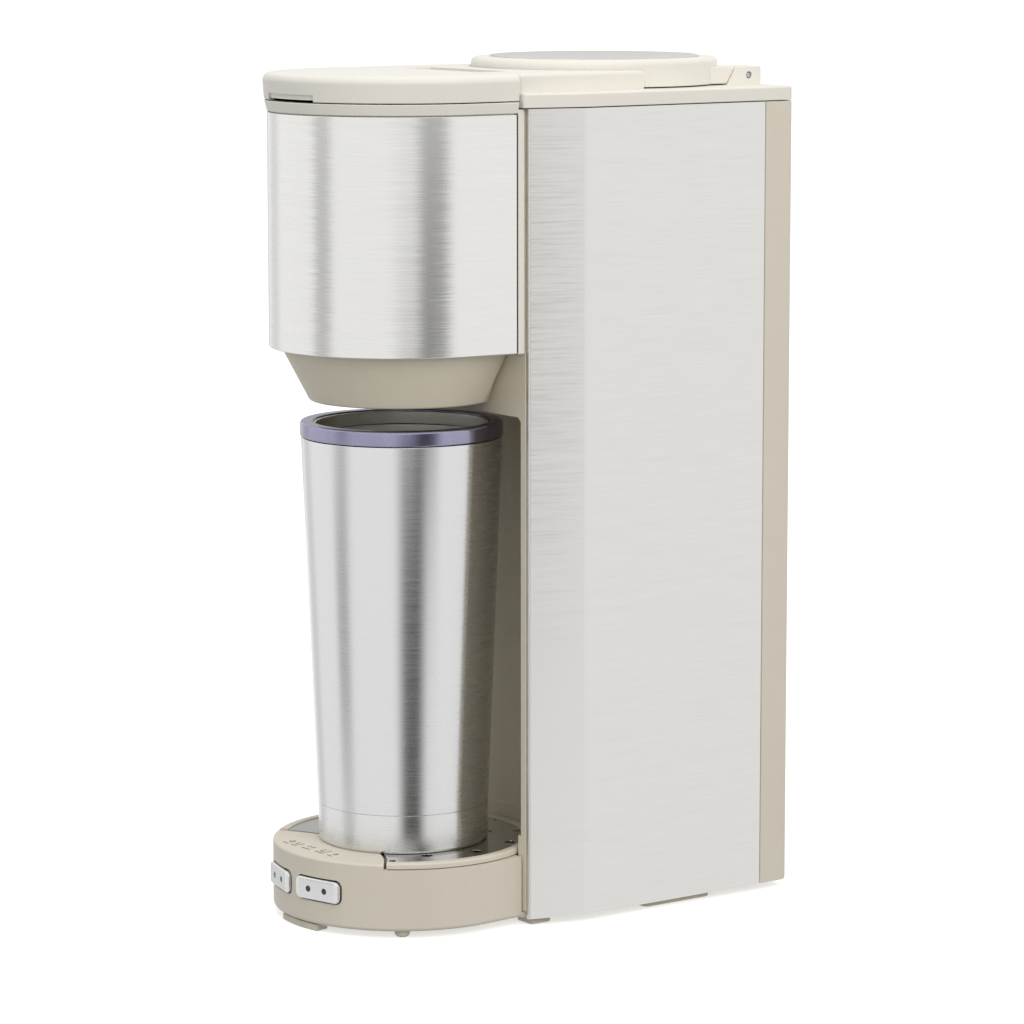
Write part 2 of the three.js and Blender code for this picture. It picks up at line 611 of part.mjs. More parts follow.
function bottomPlate() {
  const top = BODY_BOTTOM + WALL;
  const step = PANEL_T + GAP;
  const plateBack = PANEL_BACK - 0.4;
  const tower = prism(mirrored([[48, -3], [FRONT_HALF - 3, 1.6], ...towerSide(step).slice(1),
    [TOWER_HALF - step, plateBack]]), BODY_BOTTOM, top);
  const nose = prism(roundFront(BASE_R - WALL - 0.8, 45, 0), BODY_BOTTOM, top);
  const link = box(-44, 44, -4, 3, BODY_BOTTOM, top);
  const counterbores = SCREW_PLACES.flatMap(([x, y]) => [
    rod(x, y, 3.5, BODY_BOTTOM - 1, BODY_BOTTOM + 1.2), rod(x, y, 1.9, 0, 10),
  ]);
  const vents = [-2, -1, 0, 1, 2].map((i) => {
    const left = i * VENTS.pitch - VENTS.width / 2;
    return box(left, left + VENTS.width, VENTS.front, VENTS.back, 0, 10);
  });
  return cut(join(tower.intersect(behind(1.6)), nose, link), ...counterbores, ...vents);
}

function screw(x, y) {
  return join(
    rod(x, y, 3.1, BODY_BOTTOM + 0.1, BODY_BOTTOM + 0.9),
    rod(x, y, 1.5, BODY_BOTTOM + 0.5, BODY_BOTTOM + 6.5),
  );
}

function frontFoot() {
  return cut(rod(0, AXIS_Y, 45, 0, FOOT_H, 60), rod(0, AXIS_Y, 40.5, -1, 5, 60))
    .intersect(prism([[0, AXIS_Y], ...arc(0, AXIS_Y, 70, -90 - 18, -90 + 18, 2)], -1, 5));
}

// ---- Inside the tower ---------------------------------------------------------------------------
function waterTank() {
  const outline = (inset) => roundedRect(TANK_W - 2 * inset, TANK_D - 2 * inset, 10 - inset)
    .map(([x, y]) => [x, y + TANK_Y]);
  return cut(
    prism(outline(0), TANK_BOTTOM, TANK_TOP),
    prism(outline(2), TANK_BOTTOM + 2.5, TANK_TOP + 1),
    rod(0, TANK_Y, 3, TANK_BOTTOM - 1, TANK_BOTTOM + 5),
  );
}

function checkValve() {
  const body = rod(0, TANK_Y, 6, 152, TANK_BOTTOM - GAP);
  return cut(join(body, rod(0, TANK_Y, 3.6, 146, 153)), rod(0, TANK_Y, 2, 140, 170));
}

function outletNozzle() {
  const [bore, top] = [1.8, 303.6];
  return cut(
    join(rodY(0, NOZZLE_Z, NOZZLE_R, NOZZLE_Y, 8), rod(0, NOZZLE_Y, NOZZLE_R, NOZZLE_Z - NOZZLE_R, top)),
    rodY(0, NOZZLE_Z, bore, NOZZLE_Y, 9),
    rod(0, NOZZLE_Y, bore, NOZZLE_Z - 1.5, top + 1),
  );
}

function boilerBlock() {
  const body = prism(roundedRect(64, 30, 8).map(([x, y]) => [x, y + BOILER_Y]), BOILER_Z, BOILER_TOP);
  const stub = (x) => rod(x, BOILER_Y, 4, BOILER_TOP - 1, STUB_TOP);
  const bore = (x) => rod(x, BOILER_Y, 2.2, BOILER_Z + 4, STUB_TOP + 20);
  return cut(join(body, stub(-STUB_X), stub(STUB_X)), bore(-STUB_X), bore(STUB_X));
}

function heatingElement() {
  const r = 3.4;
  const z = BOILER_Z - r - GAP;
  const [half, front] = [16, 58];
  const ends = [-1, 1].map((s) => rodY(s * half, z, r, front - 2, 96));
  return join(...ends, rodX(front, z, r, -half, half));
}

function inletHose() {
  const end = STUB_TOP + HOSE_GAP;
  return hose([
    [0, TANK_Y, 145.6], [0, TANK_Y, 132], [10, TANK_Y - 2, 112], [STUB_X, BOILER_Y, 86], [STUB_X, BOILER_Y, end],
  ], 3.6, 16);
}

function riserHose() {            // from the boiler up the left side of the tower to the nozzle
  const x = -48.5;
  const start = STUB_TOP + HOSE_GAP;
  return hose([
    [-STUB_X, BOILER_Y, start], [-STUB_X, BOILER_Y, start + 13.6], [-34, 52, 92], [x, 24, 112],
    [x, 21, 150], [x, 21, 220], [-40, 22, 262], [-12, 20, 290], [0, 12, NOZZLE_Z], [0, 8.4, NOZZLE_Z],
  ], 3.2, 32);
}

function cordGland() {
  const rodAt = (r, y0, y1, segments) => rodY(CORD_X, CORD_Z, r, y0, y1, segments);
  const flange = rodAt(6.6, TOWER_BACK - 2.65, TOWER_BACK - 0.6, 20);
  return cut(join(rodAt(4.6, TOWER_BACK - 7.5, TOWER_BACK - 2.5, 20), flange), rodAt(CORD_BORE_R, 100, 130, 16));
}

// ---- Travel mug ---------------------------------------------------------------------------------
function mugBody() {
  const [z0, z1] = [MUG_SEAM_Z + 0.3, COLLAR_BOTTOM - 0.3];
  const top = MUG_RIM_R - 0.3;
  return turned([[MUG_SEAM_R, z0], [top, z1], [top - MUG_WALL, z1], [MUG_SEAM_R - MUG_WALL, z0]]);
}

function mugBase() {
  const [z, r] = [MUG_BOTTOM, MUG_SEAM_R];
  return turned([
    [0, z + 2], [24, z + 2], [26, z], [r - 2.6, z], [r - 0.8, z + 0.8], [r - 0.2, z + 2.6],
    [r, MUG_SEAM_Z], [r - MUG_WALL, MUG_SEAM_Z], [r - 1.4, z + 4], [r - 3.4, z + 3.2], [0, z + 3.2],
  ]);
}

function mugLiner() {
  const [z0, z1] = [MUG_BOTTOM + 8, COLLAR_BOTTOM - 0.3];
  const [bottom, top] = [27.6, 34.6];
  return turned([
    [0, z0], [bottom - 5, z0], [bottom, z0 + 5], [top, z1], [top - MUG_WALL, z1],
    [bottom - MUG_WALL, z0 + 5.4], [bottom - 5.4, z0 + MUG_WALL], [0, z0 + MUG_WALL],
  ]);
}

function mugCollar() {
  const [z, top, edge] = [COLLAR_BOTTOM, MUG_TOP, 0.8];
  const [outer, inner] = [MUG_RIM_R, MUG_RIM_R - 6];
  return turned([
    [inner, z], [outer, z], [outer, top - edge], [outer - edge, top], [inner + edge, top], [inner, top - edge],
  ]);
}

// ---- The assembly -------------------------------------------------------------------------------
place('tower_frame', towerFrame(), CREAM);
place('side_panel_left', sidePanel(-1), BRUSHED);
place('side_panel_right', sidePanel(1), BRUSHED);
place('rear_cover', rearCover(), CREAM);
place('top_deck', topDeck(), CREAM);
place('base_housing', baseHousing(), CREAM_DARK);
place('bottom_plate', bottomPlate(), CREAM_DARK);
SCREW_PLACES.forEach(([x, y], i) => place(`bottom_screw_${i + 1}`, screw(x, y), ZINC));

place('foot_front', frontFoot(), RUBBER);
for (const [name, side] of SIDES) {
  place(`foot_round_${name}`, rod(side * 35, -47.5, 3.6, 0, FOOT_H), RUBBER);
  place(`foot_mid_${name}`, box(side * 46 - 5, side * 46 + 5, 2.5, 12, 0, FOOT_H), RUBBER);
  place(`foot_rear_${name}`, box(side * 51 - 4, side * 51 + 4, 54, 86, 0, FOOT_H), RUBBER);
}

place('brew_head_shell', headShell(), CREAM);
place('head_steel_wrap', headWrap(), BRUSHED);
place('brew_funnel', brewFunnel(), CREAM_DARK);
place('filter_basket', filterBasket(), CHARCOAL);
place('mesh_filter', meshFilter(), POLISHED);
place('outlet_nozzle', outletNozzle(), SILICONE);

place('brew_lid', brewLid(), CREAM);
place('spray_head', sprayHead(), SILICONE);
place('brew_hinge_pin', hingePin(BREW_HINGE), ZINC);
place('tank_lid', tankLid(), CREAM);
place('tank_lid_inlay', rod(0, TANK_Y, INLAY_R, TANK_LID_TOP - 0.4, TANK_LID_TOP + 0.6, 40), BRUSHED);
place('tank_hinge_pin', hingePin(TANK_HINGE), ZINC);

place('drip_tray', dripTray(), CREAM_DARK);
place('drip_plate', dripPlate(), POLISHED);
for (const [name, side] of SIDES) {
  place(`button_${name}`, button(side), POLISHED);
  place(`indicator_${name}_outer`, indicator(side, side * WINDOW_OFFSET), BLACK);
  place(`indicator_${name}_inner`, indicator(side, -side * WINDOW_OFFSET), BLACK);
  place(`switch_${name}`, buttonFrame(box(-6, 6, -43, -37, 11.3, BUTTON_Z + 3), side), CHARCOAL);
}
place('switch_board', box(-22, 22, -62, -52, 9.4, 11), BOARD);

place('water_tank', waterTank(), CLEAR);
place('check_valve', checkValve(), SILICONE);
place('boiler_block', boilerBlock(), ALUMINIUM);
place('heating_element', heatingElement(), ZINC);
place('inlet_hose', inletHose(), SILICONE);
place('riser_hose', riserHose(), SILICONE);
place('thermostat', rod(-6, BOILER_Y, 7, BOILER_TOP + 0.4, BOILER_TOP + 7, 20), CHARCOAL);
place('thermal_fuse', rodX(BOILER_Y + 2, BOILER_TOP + 2.8, 2, 4, 14), CHARCOAL);
place('power_board', box(-34, 34, 103, 104.6, 16, 84), BOARD);
place('cord_gland', cordGland(), CHARCOAL);

const mug = new THREE.Group();
machine.add(mug);
place('mug_body', mugBody(), BRUSHED, mug);
place('mug_base', mugBase(), BRUSHED, mug);
place('mug_liner', mugLiner(), POLISHED, mug);
place('mug_collar', mugCollar(), VIOLET, mug);

export default machine;
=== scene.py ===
"""Visual model of a single-serve drip coffee maker with its steel travel mug.

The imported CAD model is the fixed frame. Each sub-assembly is a class that holds its sizes in millimetres and builds
its own fine meshes and finishes round that frame. The working axes are the CAD ones, but Y counts from the front
face of the tower: X runs left to right, Y towards the back and Z up.
"""

import logging
import math
from collections.abc import Callable, Sequence
from dataclasses import dataclass, field
from enum import Enum

import bmesh
import bpy
from mathutils import Matrix, Vector

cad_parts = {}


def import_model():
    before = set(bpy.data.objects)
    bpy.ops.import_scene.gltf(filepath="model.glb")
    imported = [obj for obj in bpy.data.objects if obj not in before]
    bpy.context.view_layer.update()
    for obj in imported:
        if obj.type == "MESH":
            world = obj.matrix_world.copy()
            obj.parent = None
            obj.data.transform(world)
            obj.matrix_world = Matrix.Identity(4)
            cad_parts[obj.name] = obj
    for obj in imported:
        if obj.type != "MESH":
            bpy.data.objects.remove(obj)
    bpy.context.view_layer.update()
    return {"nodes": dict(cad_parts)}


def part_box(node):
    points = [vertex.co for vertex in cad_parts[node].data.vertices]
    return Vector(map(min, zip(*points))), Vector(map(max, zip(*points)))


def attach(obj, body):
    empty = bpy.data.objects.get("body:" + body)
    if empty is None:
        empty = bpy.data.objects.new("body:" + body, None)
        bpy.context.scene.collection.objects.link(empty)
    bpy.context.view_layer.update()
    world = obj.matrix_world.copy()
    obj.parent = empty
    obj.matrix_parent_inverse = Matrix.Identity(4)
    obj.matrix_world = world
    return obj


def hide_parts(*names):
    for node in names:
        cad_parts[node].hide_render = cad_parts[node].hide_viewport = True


LOG = logging.getLogger("coffee_maker")
MM = 0.001
ROUND_STEPS = 144          # facets of a large round piece
SMALL_STEPS = 32           # facets of a small round piece
SHARP = math.radians(50)   # edges sharper than this stay crisp
AXIS_Y = -21.0             # Y of the upright axis that the mug, the head, the bay and the base share
BASKET_Y = -35.0           # Y of the filter basket's axis
WIDE = 80.0                # half width of a block that cuts right across the machine
PIN_BORE_R = 1.4           # radius of a hinge pin's bore

Point2 = tuple[float, float]
Point3 = tuple[float, float, float]
Setting = float | int | bool | str | tuple | bpy.types.NodeSocket | bpy.types.Material


# ---- The frame -----------------------------------------------------------------------------------------------------
@dataclass
class Frame:
    """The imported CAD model, with its node boxes in millimetres of the working axes.

    Attributes:
        tower_depth: Depth of the tower in millimetres.
        front_y: Y of the tower's front face in the row frame, in millimetres.
    """

    tower_depth: float = 122.0
    front_y: float = 0.0

    def __post_init__(self) -> None:
        """Finds the tower's front face from the back of the rear cover."""
        self.front_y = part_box("rear_cover")[1].y / MM - self.tower_depth

    def low(self, node: str) -> Vector:
        """Returns the lowest corner of a CAD node, in millimetres of the working axes."""
        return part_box(node)[0] / MM - Vector((0, self.front_y, 0))

    def high(self, node: str) -> Vector:
        """Returns the highest corner of a CAD node, in millimetres of the working axes."""
        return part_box(node)[1] / MM - Vector((0, self.front_y, 0))

    def middle(self, node: str) -> Vector:
        """Returns the middle of a CAD node's box, in millimetres of the working axes."""
        return self.low(node).lerp(self.high(node), 0.5)

    def metres(self, point: Sequence[float]) -> Vector:
        """Returns a point of the working axes in metres of the row frame."""
        return Vector((point[0], point[1] + self.front_y, point[2])) * MM


# ---- Outlines ------------------------------------------------------------------------------------------------------
def arc(cx: float, cy: float, r: float, start: float, end: float, steps: int) -> list[Point2]:
    """Returns points along a circular arc.

    Args:
        cx: Centre X.
        cy: Centre Y.
        r: Radius.
        start: First angle in degrees.
        end: Last angle in degrees.
        steps: Number of equal steps.

    Returns:
        steps + 1 points from start to end.
    """
    angles = (math.radians(start + (end - start) * i / steps) for i in range(steps + 1))
    return [(cx + r * math.cos(a), cy + r * math.sin(a)) for a in angles]


def round_front(axis_y: float, r: float, side: float, back_y: float) -> list[Point2]:
    """Returns the half-round front with straight sides that the head, its lid and the base share.

    Args:
        axis_y: Y of the round front's axis.
        r: Radius of the round front.
        side: Half width at the back.
        back_y: Y of the back edge.

    Returns:
        The outline, anticlockwise from the left rear corner.
    """
    return [(-side, back_y), *arc(0, axis_y, r, -180, 0, ROUND_STEPS // 2), (side, back_y)]


def rounded_polygon(corners: Sequence[tuple[float, float, float]], steps: int = 8) -> list[Point2]:
    """Returns a polygon with rounded corners.

    Args:
        corners: X, Y and rounding radius of each corner, in order.
        steps: Steps of each rounded corner.

    Returns:
        The outline's points.
    """
    points: list[Point2] = []
    for i, (x, y, r) in enumerate(corners):
        here = Vector((x, y))
        before = (Vector(corners[i - 1][:2]) - here).normalized()
        after = (Vector(corners[(i + 1) % len(corners)][:2]) - here).normalized()
        turn = before.angle(after)
        if r <= 0 or abs(turn - math.pi) < 1e-4:
            points.append((x, y))
            continue
        reach = r / math.tan(turn / 2)
        centre = here + (before + after).normalized() * (r / math.sin(turn / 2))
        first = here + before * reach - centre
        last = here + after * reach - centre
        sweep = first.angle_signed(last)
        for k in range(steps + 1):
            offset = first.copy()
            offset.rotate(Matrix.Rotation(-sweep * k / steps, 2))
            points.append((centre.x + offset.x, centre.y + offset.y))
    return points


def mirrored(corners: Sequence[tuple[float, ...]]) -> list[tuple[float, ...]]:
    """Returns the right half of an outline followed by its mirror image about X = 0."""
    return [*corners, *[(-c[0], *c[1:]) for c in reversed(corners)]]


def inset(outline: Sequence[Point2], depth: float) -> list[Point2]:
    """Moves an anticlockwise outline inwards.

    Args:
        outline: Points of the outline.
        depth: Distance inwards.

    Returns:
        As many points as the outline has.
    """
    if depth == 0:
        return list(outline)
    moved = []
    for i, point in enumerate(outline):
        before = (Vector(point) - Vector(outline[i - 1])).normalized()
        after = (Vector(outline[(i + 1) % len(outline)]) - Vector(point)).normalized()
        normal = Vector((-before.y - after.y, before.x + after.x)).normalized()
        stretch = max(0.5, normal.dot(Vector((-before.y, before.x))))
        moved.append((point[0] + normal.x * depth / stretch, point[1] + normal.y * depth / stretch))
    return moved


def soft_levels(z0: float, z1: float, bottom_r: float, top_r: float, steps: int = 6) -> list[Point2]:
    """Returns inset and height of each level of a prism whose two rims are rounded.

    Args:
        z0: Bottom height.
        z1: Top height.
        bottom_r: Radius of the lower rim.
        top_r: Radius of the upper rim.
        steps: Steps of each rounding.

    Returns:
        Pairs of inset and height from the bottom up.
    """
    quarter = [math.pi / 2 * i / steps for i in range(steps + 1)]
    low = [(bottom_r * (1 - math.sin(a)), z0 + bottom_r * (1 - math.cos(a))) for a in quarter]
    high = [(top_r * (1 - math.cos(a)), z1 - top_r * (1 - math.sin(a))) for a in quarter]
    return (low if bottom_r else low[:1]) + (high if top_r else high[:1])


def rounded_rectangle(width: float, height: float, r: float, steps: int = 10) -> list[Point2]:
    """Returns a rectangle about the origin, anticlockwise, with rounded corners."""
    w, h = width / 2, height / 2
    return rounded_polygon([(w, -h, r), (w, h, r), (-w, h, r), (-w, -h, r)], steps)


# ---- Bodies --------------------------------------------------------------------------------------------------------
class Blank:
    """A closed body while it is being shaped, as an object whose place is in its mesh."""

    def __init__(
        self, rings: Sequence[Sequence[Point3]], frame: Frame, looped: bool = False, striped: bool = False
    ) -> None:
        """Skins closed rings of points in order.

        Args:
            rings: Rings with equally many points, in millimetres of the working axes.
            frame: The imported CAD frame.
            looped: True if the last ring joins the first one, and False if both ends are capped.
            striped: True if each cap is made of strips between opposite points, so that it can be curved.
        """
        shape = bmesh.new()
        rows = [[shape.verts.new(frame.metres(p)) for p in ring] for ring in rings]
        count = len(rows[0])
        pairs = list(zip(rows, rows[1:])) + ([(rows[-1], rows[0])] if looped else [])
        for lower, upper in pairs:
            for i in range(count):
                k = (i + 1) % count
                shape.faces.new((lower[i], lower[k], upper[k], upper[i]))
        for row in [] if looped else [rows[0], rows[-1]]:
            if striped:
                for i in range(count // 2 - 1):
                    shape.faces.new((row[i], row[i + 1], row[count - 2 - i], row[count - 1 - i]))
            else:
                shape.faces.new(row)
        bmesh.ops.remove_doubles(shape, verts=shape.verts, dist=1e-6)
        bmesh.ops.recalc_face_normals(shape, faces=shape.faces)
        self.frame = frame
        self.obj = self._store(shape)

    @staticmethod
    def _store(shape: bmesh.types.BMesh) -> bpy.types.Object:
        """Turns a bmesh into a linked object.

        Args:
            shape: The shape, which is freed.

        Returns:
            The object.
        """
        mesh = bpy.data.meshes.new("blank")
        shape.to_mesh(mesh)
        shape.free()
        obj = bpy.data.objects.new("blank", mesh)
        bpy.context.scene.collection.objects.link(obj)
        return obj

    def settle(self) -> "Blank":
        """Replaces the mesh by the result of its modifiers, and removes them.

        Returns:
            This body.
        """
        graph = bpy.context.evaluated_depsgraph_get()
        mesh = bpy.data.meshes.new_from_object(self.obj.evaluated_get(graph))
        self.obj.modifiers.clear()
        self.obj.data = mesh
        return self

    def _combine(self, operation: str, others: Sequence["Blank"]) -> "Blank":
        """Applies one boolean for each other body, and removes the others.

        Args:
            operation: DIFFERENCE, UNION or INTERSECT.
            others: The other bodies.

        Returns:
            This body.
        """
        for other in others:
            step = self.obj.modifiers.new("combine", "BOOLEAN")
            step.operation, step.object, step.solver = operation, other.obj, "EXACT"
        self.settle()
        for other in others:
            bpy.data.objects.remove(other.obj)
        return self

    def cut(self, *tools: "Blank") -> "Blank":
        """Takes the tools away from this body."""
        return self._combine("DIFFERENCE", tools)

    def join(self, *others: "Blank") -> "Blank":
        """Adds the other bodies to this one."""
        return self._combine("UNION", others)

    def keep(self, *tools: "Blank") -> "Blank":
        """Keeps only what lies inside the tools."""
        return self._combine("INTERSECT", tools)

    def soften(self, width: float, segments: int = 2, angle: float = 40) -> "Blank":
        """Rounds the edges a little.

        Args:
            width: Width of the rounding in millimetres.
            segments: Steps of the rounding.
            angle: Edges that turn by more than this many degrees are rounded.

        Returns:
            This body.
        """
        step = self.obj.modifiers.new("soften", "BEVEL")
        step.width, step.segments, step.limit_method = width * MM, segments, "ANGLE"
        step.angle_limit = math.radians(angle)
        step.miter_outer = "MITER_ARC"
        return self.settle()

    def grow(self, tree: bpy.types.NodeTree, **values: Setting) -> "Blank":
        """Runs a geometry tree on the body and keeps the plain result.

        Args:
            tree: The geometry tree.
            **values: Values of its named inputs, with underscores for the spaces in their names.

        Returns:
            This body.
        """
        step = self.obj.modifiers.new("grow", "NODES")
        step.node_group = tree
        names = {s.name: s.identifier for s in tree.interface.items_tree if s.in_out == "INPUT"}
        for name, value in values.items():
            step[names[name.replace("_", " ")]] = value
        return self.settle()

    def piece(self, name: str, finish: "Finish", body: str, *nodes: str) -> None:
        """Finishes the body as a piece of the object.

        Args:
            name: Name of the piece.
            finish: Its finish.
            body: The CAD body that it rides on.
            *nodes: CAD nodes that it stands for.
        """
        obj = self.obj
        obj.data.shade_smooth()
        obj.data.set_sharp_from_angle(angle=SHARP)
        obj.modifiers.new("even_normals", "WEIGHTED_NORMAL").keep_sharp = True
        self.settle()
        obj.name = obj.data.name = name
        obj.data.materials.clear()
        obj.data.materials.append(finish.material())
        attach(obj, body)
        if nodes:
            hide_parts(*nodes)
        LOG.info("%s: %d faces on %s", name, len(obj.data.polygons), body)


@dataclass(frozen=True)
class Workshop:
    """Makes blanks of the usual kinds round one frame."""

    frame: Frame

    def prism(self, outline: Sequence[Point2], levels: Sequence[Point2]) -> Blank:
        """Stacks insets of an outline, from pairs of inset and height."""
        return Blank([[(x, y, z) for x, y in inset(outline, depth)] for depth, z in levels], self.frame)

    def stack(self, outline_at: Callable[[float], list[Point2]], levels: Sequence[Point2]) -> Blank:
        """Stacks outlines that a rule gives for each inset."""
        return Blank([[(x, y, z) for x, y in outline_at(depth)] for depth, z in levels], self.frame)

    def prism_x(self, outline: Sequence[Point2], x0: float, x1: float) -> Blank:
        """Extrudes an outline in Y and Z along X."""
        return Blank([[(x, y, z) for y, z in outline] for x in (x0, x1)], self.frame)

    def prism_y(self, outline: Sequence[Point2], y0: float, y1: float) -> Blank:
        """Extrudes an outline in X and Z along Y."""
        return Blank([[(x, y, z) for x, z in outline] for y in (y0, y1)], self.frame)

    def box(self, x0: float, x1: float, y0: float, y1: float, z0: float, z1: float) -> Blank:
        """Makes a cutting block."""
        return Blank([[(x0, y0, z), (x1, y0, z), (x1, y1, z), (x0, y1, z)] for z in (z0, z1)], self.frame)

    def rod(self, x: float, y: float, r: float, z0: float, z1: float, steps: int = SMALL_STEPS) -> Blank:
        """Makes an upright cylinder."""
        ring = arc(x, y, r, 0, 360 - 360 / steps, steps - 1)
        return Blank([[(px, py, z) for px, py in ring] for z in (z0, z1)], self.frame)

    def rod_x(self, y: float, z: float, r: float, x0: float, x1: float, steps: int = SMALL_STEPS) -> Blank:
        """Makes a cylinder along X."""
        return self.prism_x(arc(y, z, r, 0, 360 - 360 / steps, steps - 1), x0, x1)

    def rod_y(self, x: float, z: float, r: float, y0: float, y1: float, steps: int = SMALL_STEPS) -> Blank:
        """Makes a cylinder along Y."""
        return self.prism_y(arc(x, z, r, 0, 360 - 360 / steps, steps - 1), y0, y1)

    def turned(
        self, profile: Sequence[Point2], y: float, steps: int = ROUND_STEPS, limit_y: float = math.inf
    ) -> Blank:
        """Turns a closed profile of radius and height about an upright axis.

        Args:
            profile: Radius and height of each corner.
            y: Y of the axis.
            steps: Facets round the axis.
            limit_y: Nothing reaches behind this Y.

        Returns:
            The turned body, capped where the profile meets the axis.
        """
        rings = [
            [(px, min(py, limit_y), z) for px, py in arc(0, y, max(r, 1e-4), 0, 360 - 360 / steps, steps - 1)]
            for r, z in profile
        ]
        return Blank(rings, self.frame, looped=profile[0][0] > 0)


def soft_profile(corners: Sequence[tuple[float, float, float]], steps: int = 5) -> list[Point2]:
    """Rounds a turning profile, from the radius, height and rounding of each corner."""
    return rounded_polygon(corners, steps)


# ---- Geometry trees ------------------------------------------------------------------------------------------------
def add_node(
    tree: bpy.types.NodeTree, kind: str, feeds: dict[str | int, Setting], **settings: Setting
) -> bpy.types.Node:
    """Adds a node with its settings and links.

    Args:
        tree: The tree that gets the node.
        kind: The node's type.
        feeds: What feeds each input: another node's output, or a plain value.
        **settings: The node's own properties.

    Returns:
        The node.
    """
    made = tree.nodes.new(kind)
    for name, value in settings.items():
        setattr(made, name, value)
    for name, value in feeds.items():
        if isinstance(value, bpy.types.NodeSocket):
            tree.links.new(value, made.inputs[name])
        else:
            made.inputs[name].default_value = value
    return made


@dataclass
class GeometryTree:
    """A geometry tree with named inputs, which ends in Realize Instances and Set Material."""

    name: str
    inputs: dict[str, str]
    tree: bpy.types.NodeTree = field(init=False)
    source: bpy.types.Node = field(init=False)

    def __post_init__(self) -> None:
        """Makes the tree and its interface."""
        self.tree = bpy.data.node_groups.new(self.name, "GeometryNodeTree")
        face = self.tree.interface
        face.new_socket("Geometry", in_out="INPUT", socket_type="NodeSocketGeometry")
        for name, kind in self.inputs.items():
            face.new_socket(name, in_out="INPUT", socket_type=f"NodeSocket{kind}")
        face.new_socket("Material", in_out="INPUT", socket_type="NodeSocketMaterial")
        face.new_socket("Geometry", in_out="OUTPUT", socket_type="NodeSocketGeometry")
        self.source = self.add("NodeGroupInput", {})

    def add(self, kind: str, feeds: dict[str | int, Setting], **settings: Setting) -> bpy.types.Node:
        """Adds a node to this tree."""
        return add_node(self.tree, kind, feeds, **settings)

    def maths(self, operation: str, a: Setting, b: Setting = 0.0) -> bpy.types.NodeSocket:
        """Adds a sum of two numbers or fields and returns its output."""
        return self.add("ShaderNodeMath", {0: a, 1: b}, operation=operation).outputs[0]

    def drilled(self, spots: bpy.types.NodeSocket, drill: bpy.types.NodeSocket) -> bpy.types.NodeTree:
        """Ends a tree that takes a drill away from the piece at a number of spots.

        Args:
            spots: Place of each spot, as a field over Count points.
            drill: The drill's mesh.

        Returns:
            The tree.
        """
        given = self.source.outputs
        points = self.add("GeometryNodePoints", {"Count": given["Count"], "Position": spots}).outputs[0]
        holes = self.add("GeometryNodeInstanceOnPoints", {"Points": points, "Instance": drill}).outputs[0]
        real = self.add("GeometryNodeRealizeInstances", {"Geometry": holes}).outputs[0]
        feeds = {"Mesh 1": given["Geometry"], "Mesh 2": real}
        cut = self.add("GeometryNodeMeshBoolean", feeds, operation="DIFFERENCE", solver="EXACT")
        return self.close(cut.outputs["Mesh"])

    def close(self, geometry: bpy.types.NodeSocket) -> bpy.types.NodeTree:
        """Ends the tree.

        Args:
            geometry: What the tree has made.

        Returns:
            The tree.
        """
        real = self.add("GeometryNodeRealizeInstances", {"Geometry": geometry})
        feeds = {"Geometry": real.outputs[0], "Material": self.source.outputs["Material"]}
        dressed = self.add("GeometryNodeSetMaterial", feeds)
        self.add("NodeGroupOutput", {"Geometry": dressed.outputs[0]})
        return self.tree


def ring_of_holes() -> bpy.types.NodeTree:
    """Builds the tree that drills a ring of holes through a plate.

    Returns:
        The tree.
    """
    sizes = ("Centre X", "Centre Y", "Level", "Ring radius", "Hole radius", "First angle", "Step")
    made = GeometryTree("ring_of_holes", {**dict.fromkeys(sizes, "Float"), "Count": "Int"})
    given = made.source.outputs
    index = made.add("GeometryNodeInputIndex", {}).outputs[0]
    angle = made.maths("ADD", given["First angle"], made.maths("MULTIPLY", given["Step"], index))
    x = made.maths("MULTIPLY", given["Ring radius"], made.maths("COSINE", angle))
    y = made.maths("MULTIPLY", given["Ring radius"], made.maths("SINE", angle))
    x, y = made.maths("ADD", x, given["Centre X"]), made.maths("ADD", y, given["Centre Y"])
    spots = made.add("ShaderNodeCombineXYZ", {"X": x, "Y": y, "Z": given["Level"]}).outputs[0]
    drill = made.add("GeometryNodeMeshCylinder", {"Vertices": 20, "Radius": given["Hole radius"], "Depth": 6 * MM})
    return made.drilled(spots, drill.outputs[0])


def row_of_slots() -> bpy.types.NodeTree:
    """Builds the tree that cuts a row of slots through a plate.

    Returns:
        The tree.
    """
    sizes = ("Centre Y", "Pitch", "Slot width", "Slot length")
    made = GeometryTree("row_of_slots", {**dict.fromkeys(sizes, "Float"), "Count": "Int"})
    given = made.source.outputs
    index = made.add("GeometryNodeInputIndex", {}).outputs[0]
    half = made.maths("DIVIDE", made.maths("SUBTRACT", given["Count"], 1.0), 2.0)
    x = made.maths("MULTIPLY", made.maths("SUBTRACT", index, half), given["Pitch"])
    spots = made.add("ShaderNodeCombineXYZ", {"X": x, "Y": given["Centre Y"]}).outputs[0]
    size = made.add("ShaderNodeCombineXYZ", {"X": given["Slot width"], "Y": given["Slot length"], "Z": 20 * MM})
    return made.drilled(spots, made.add("GeometryNodeMeshCube", {"Size": size.outputs[0]}).outputs[0])


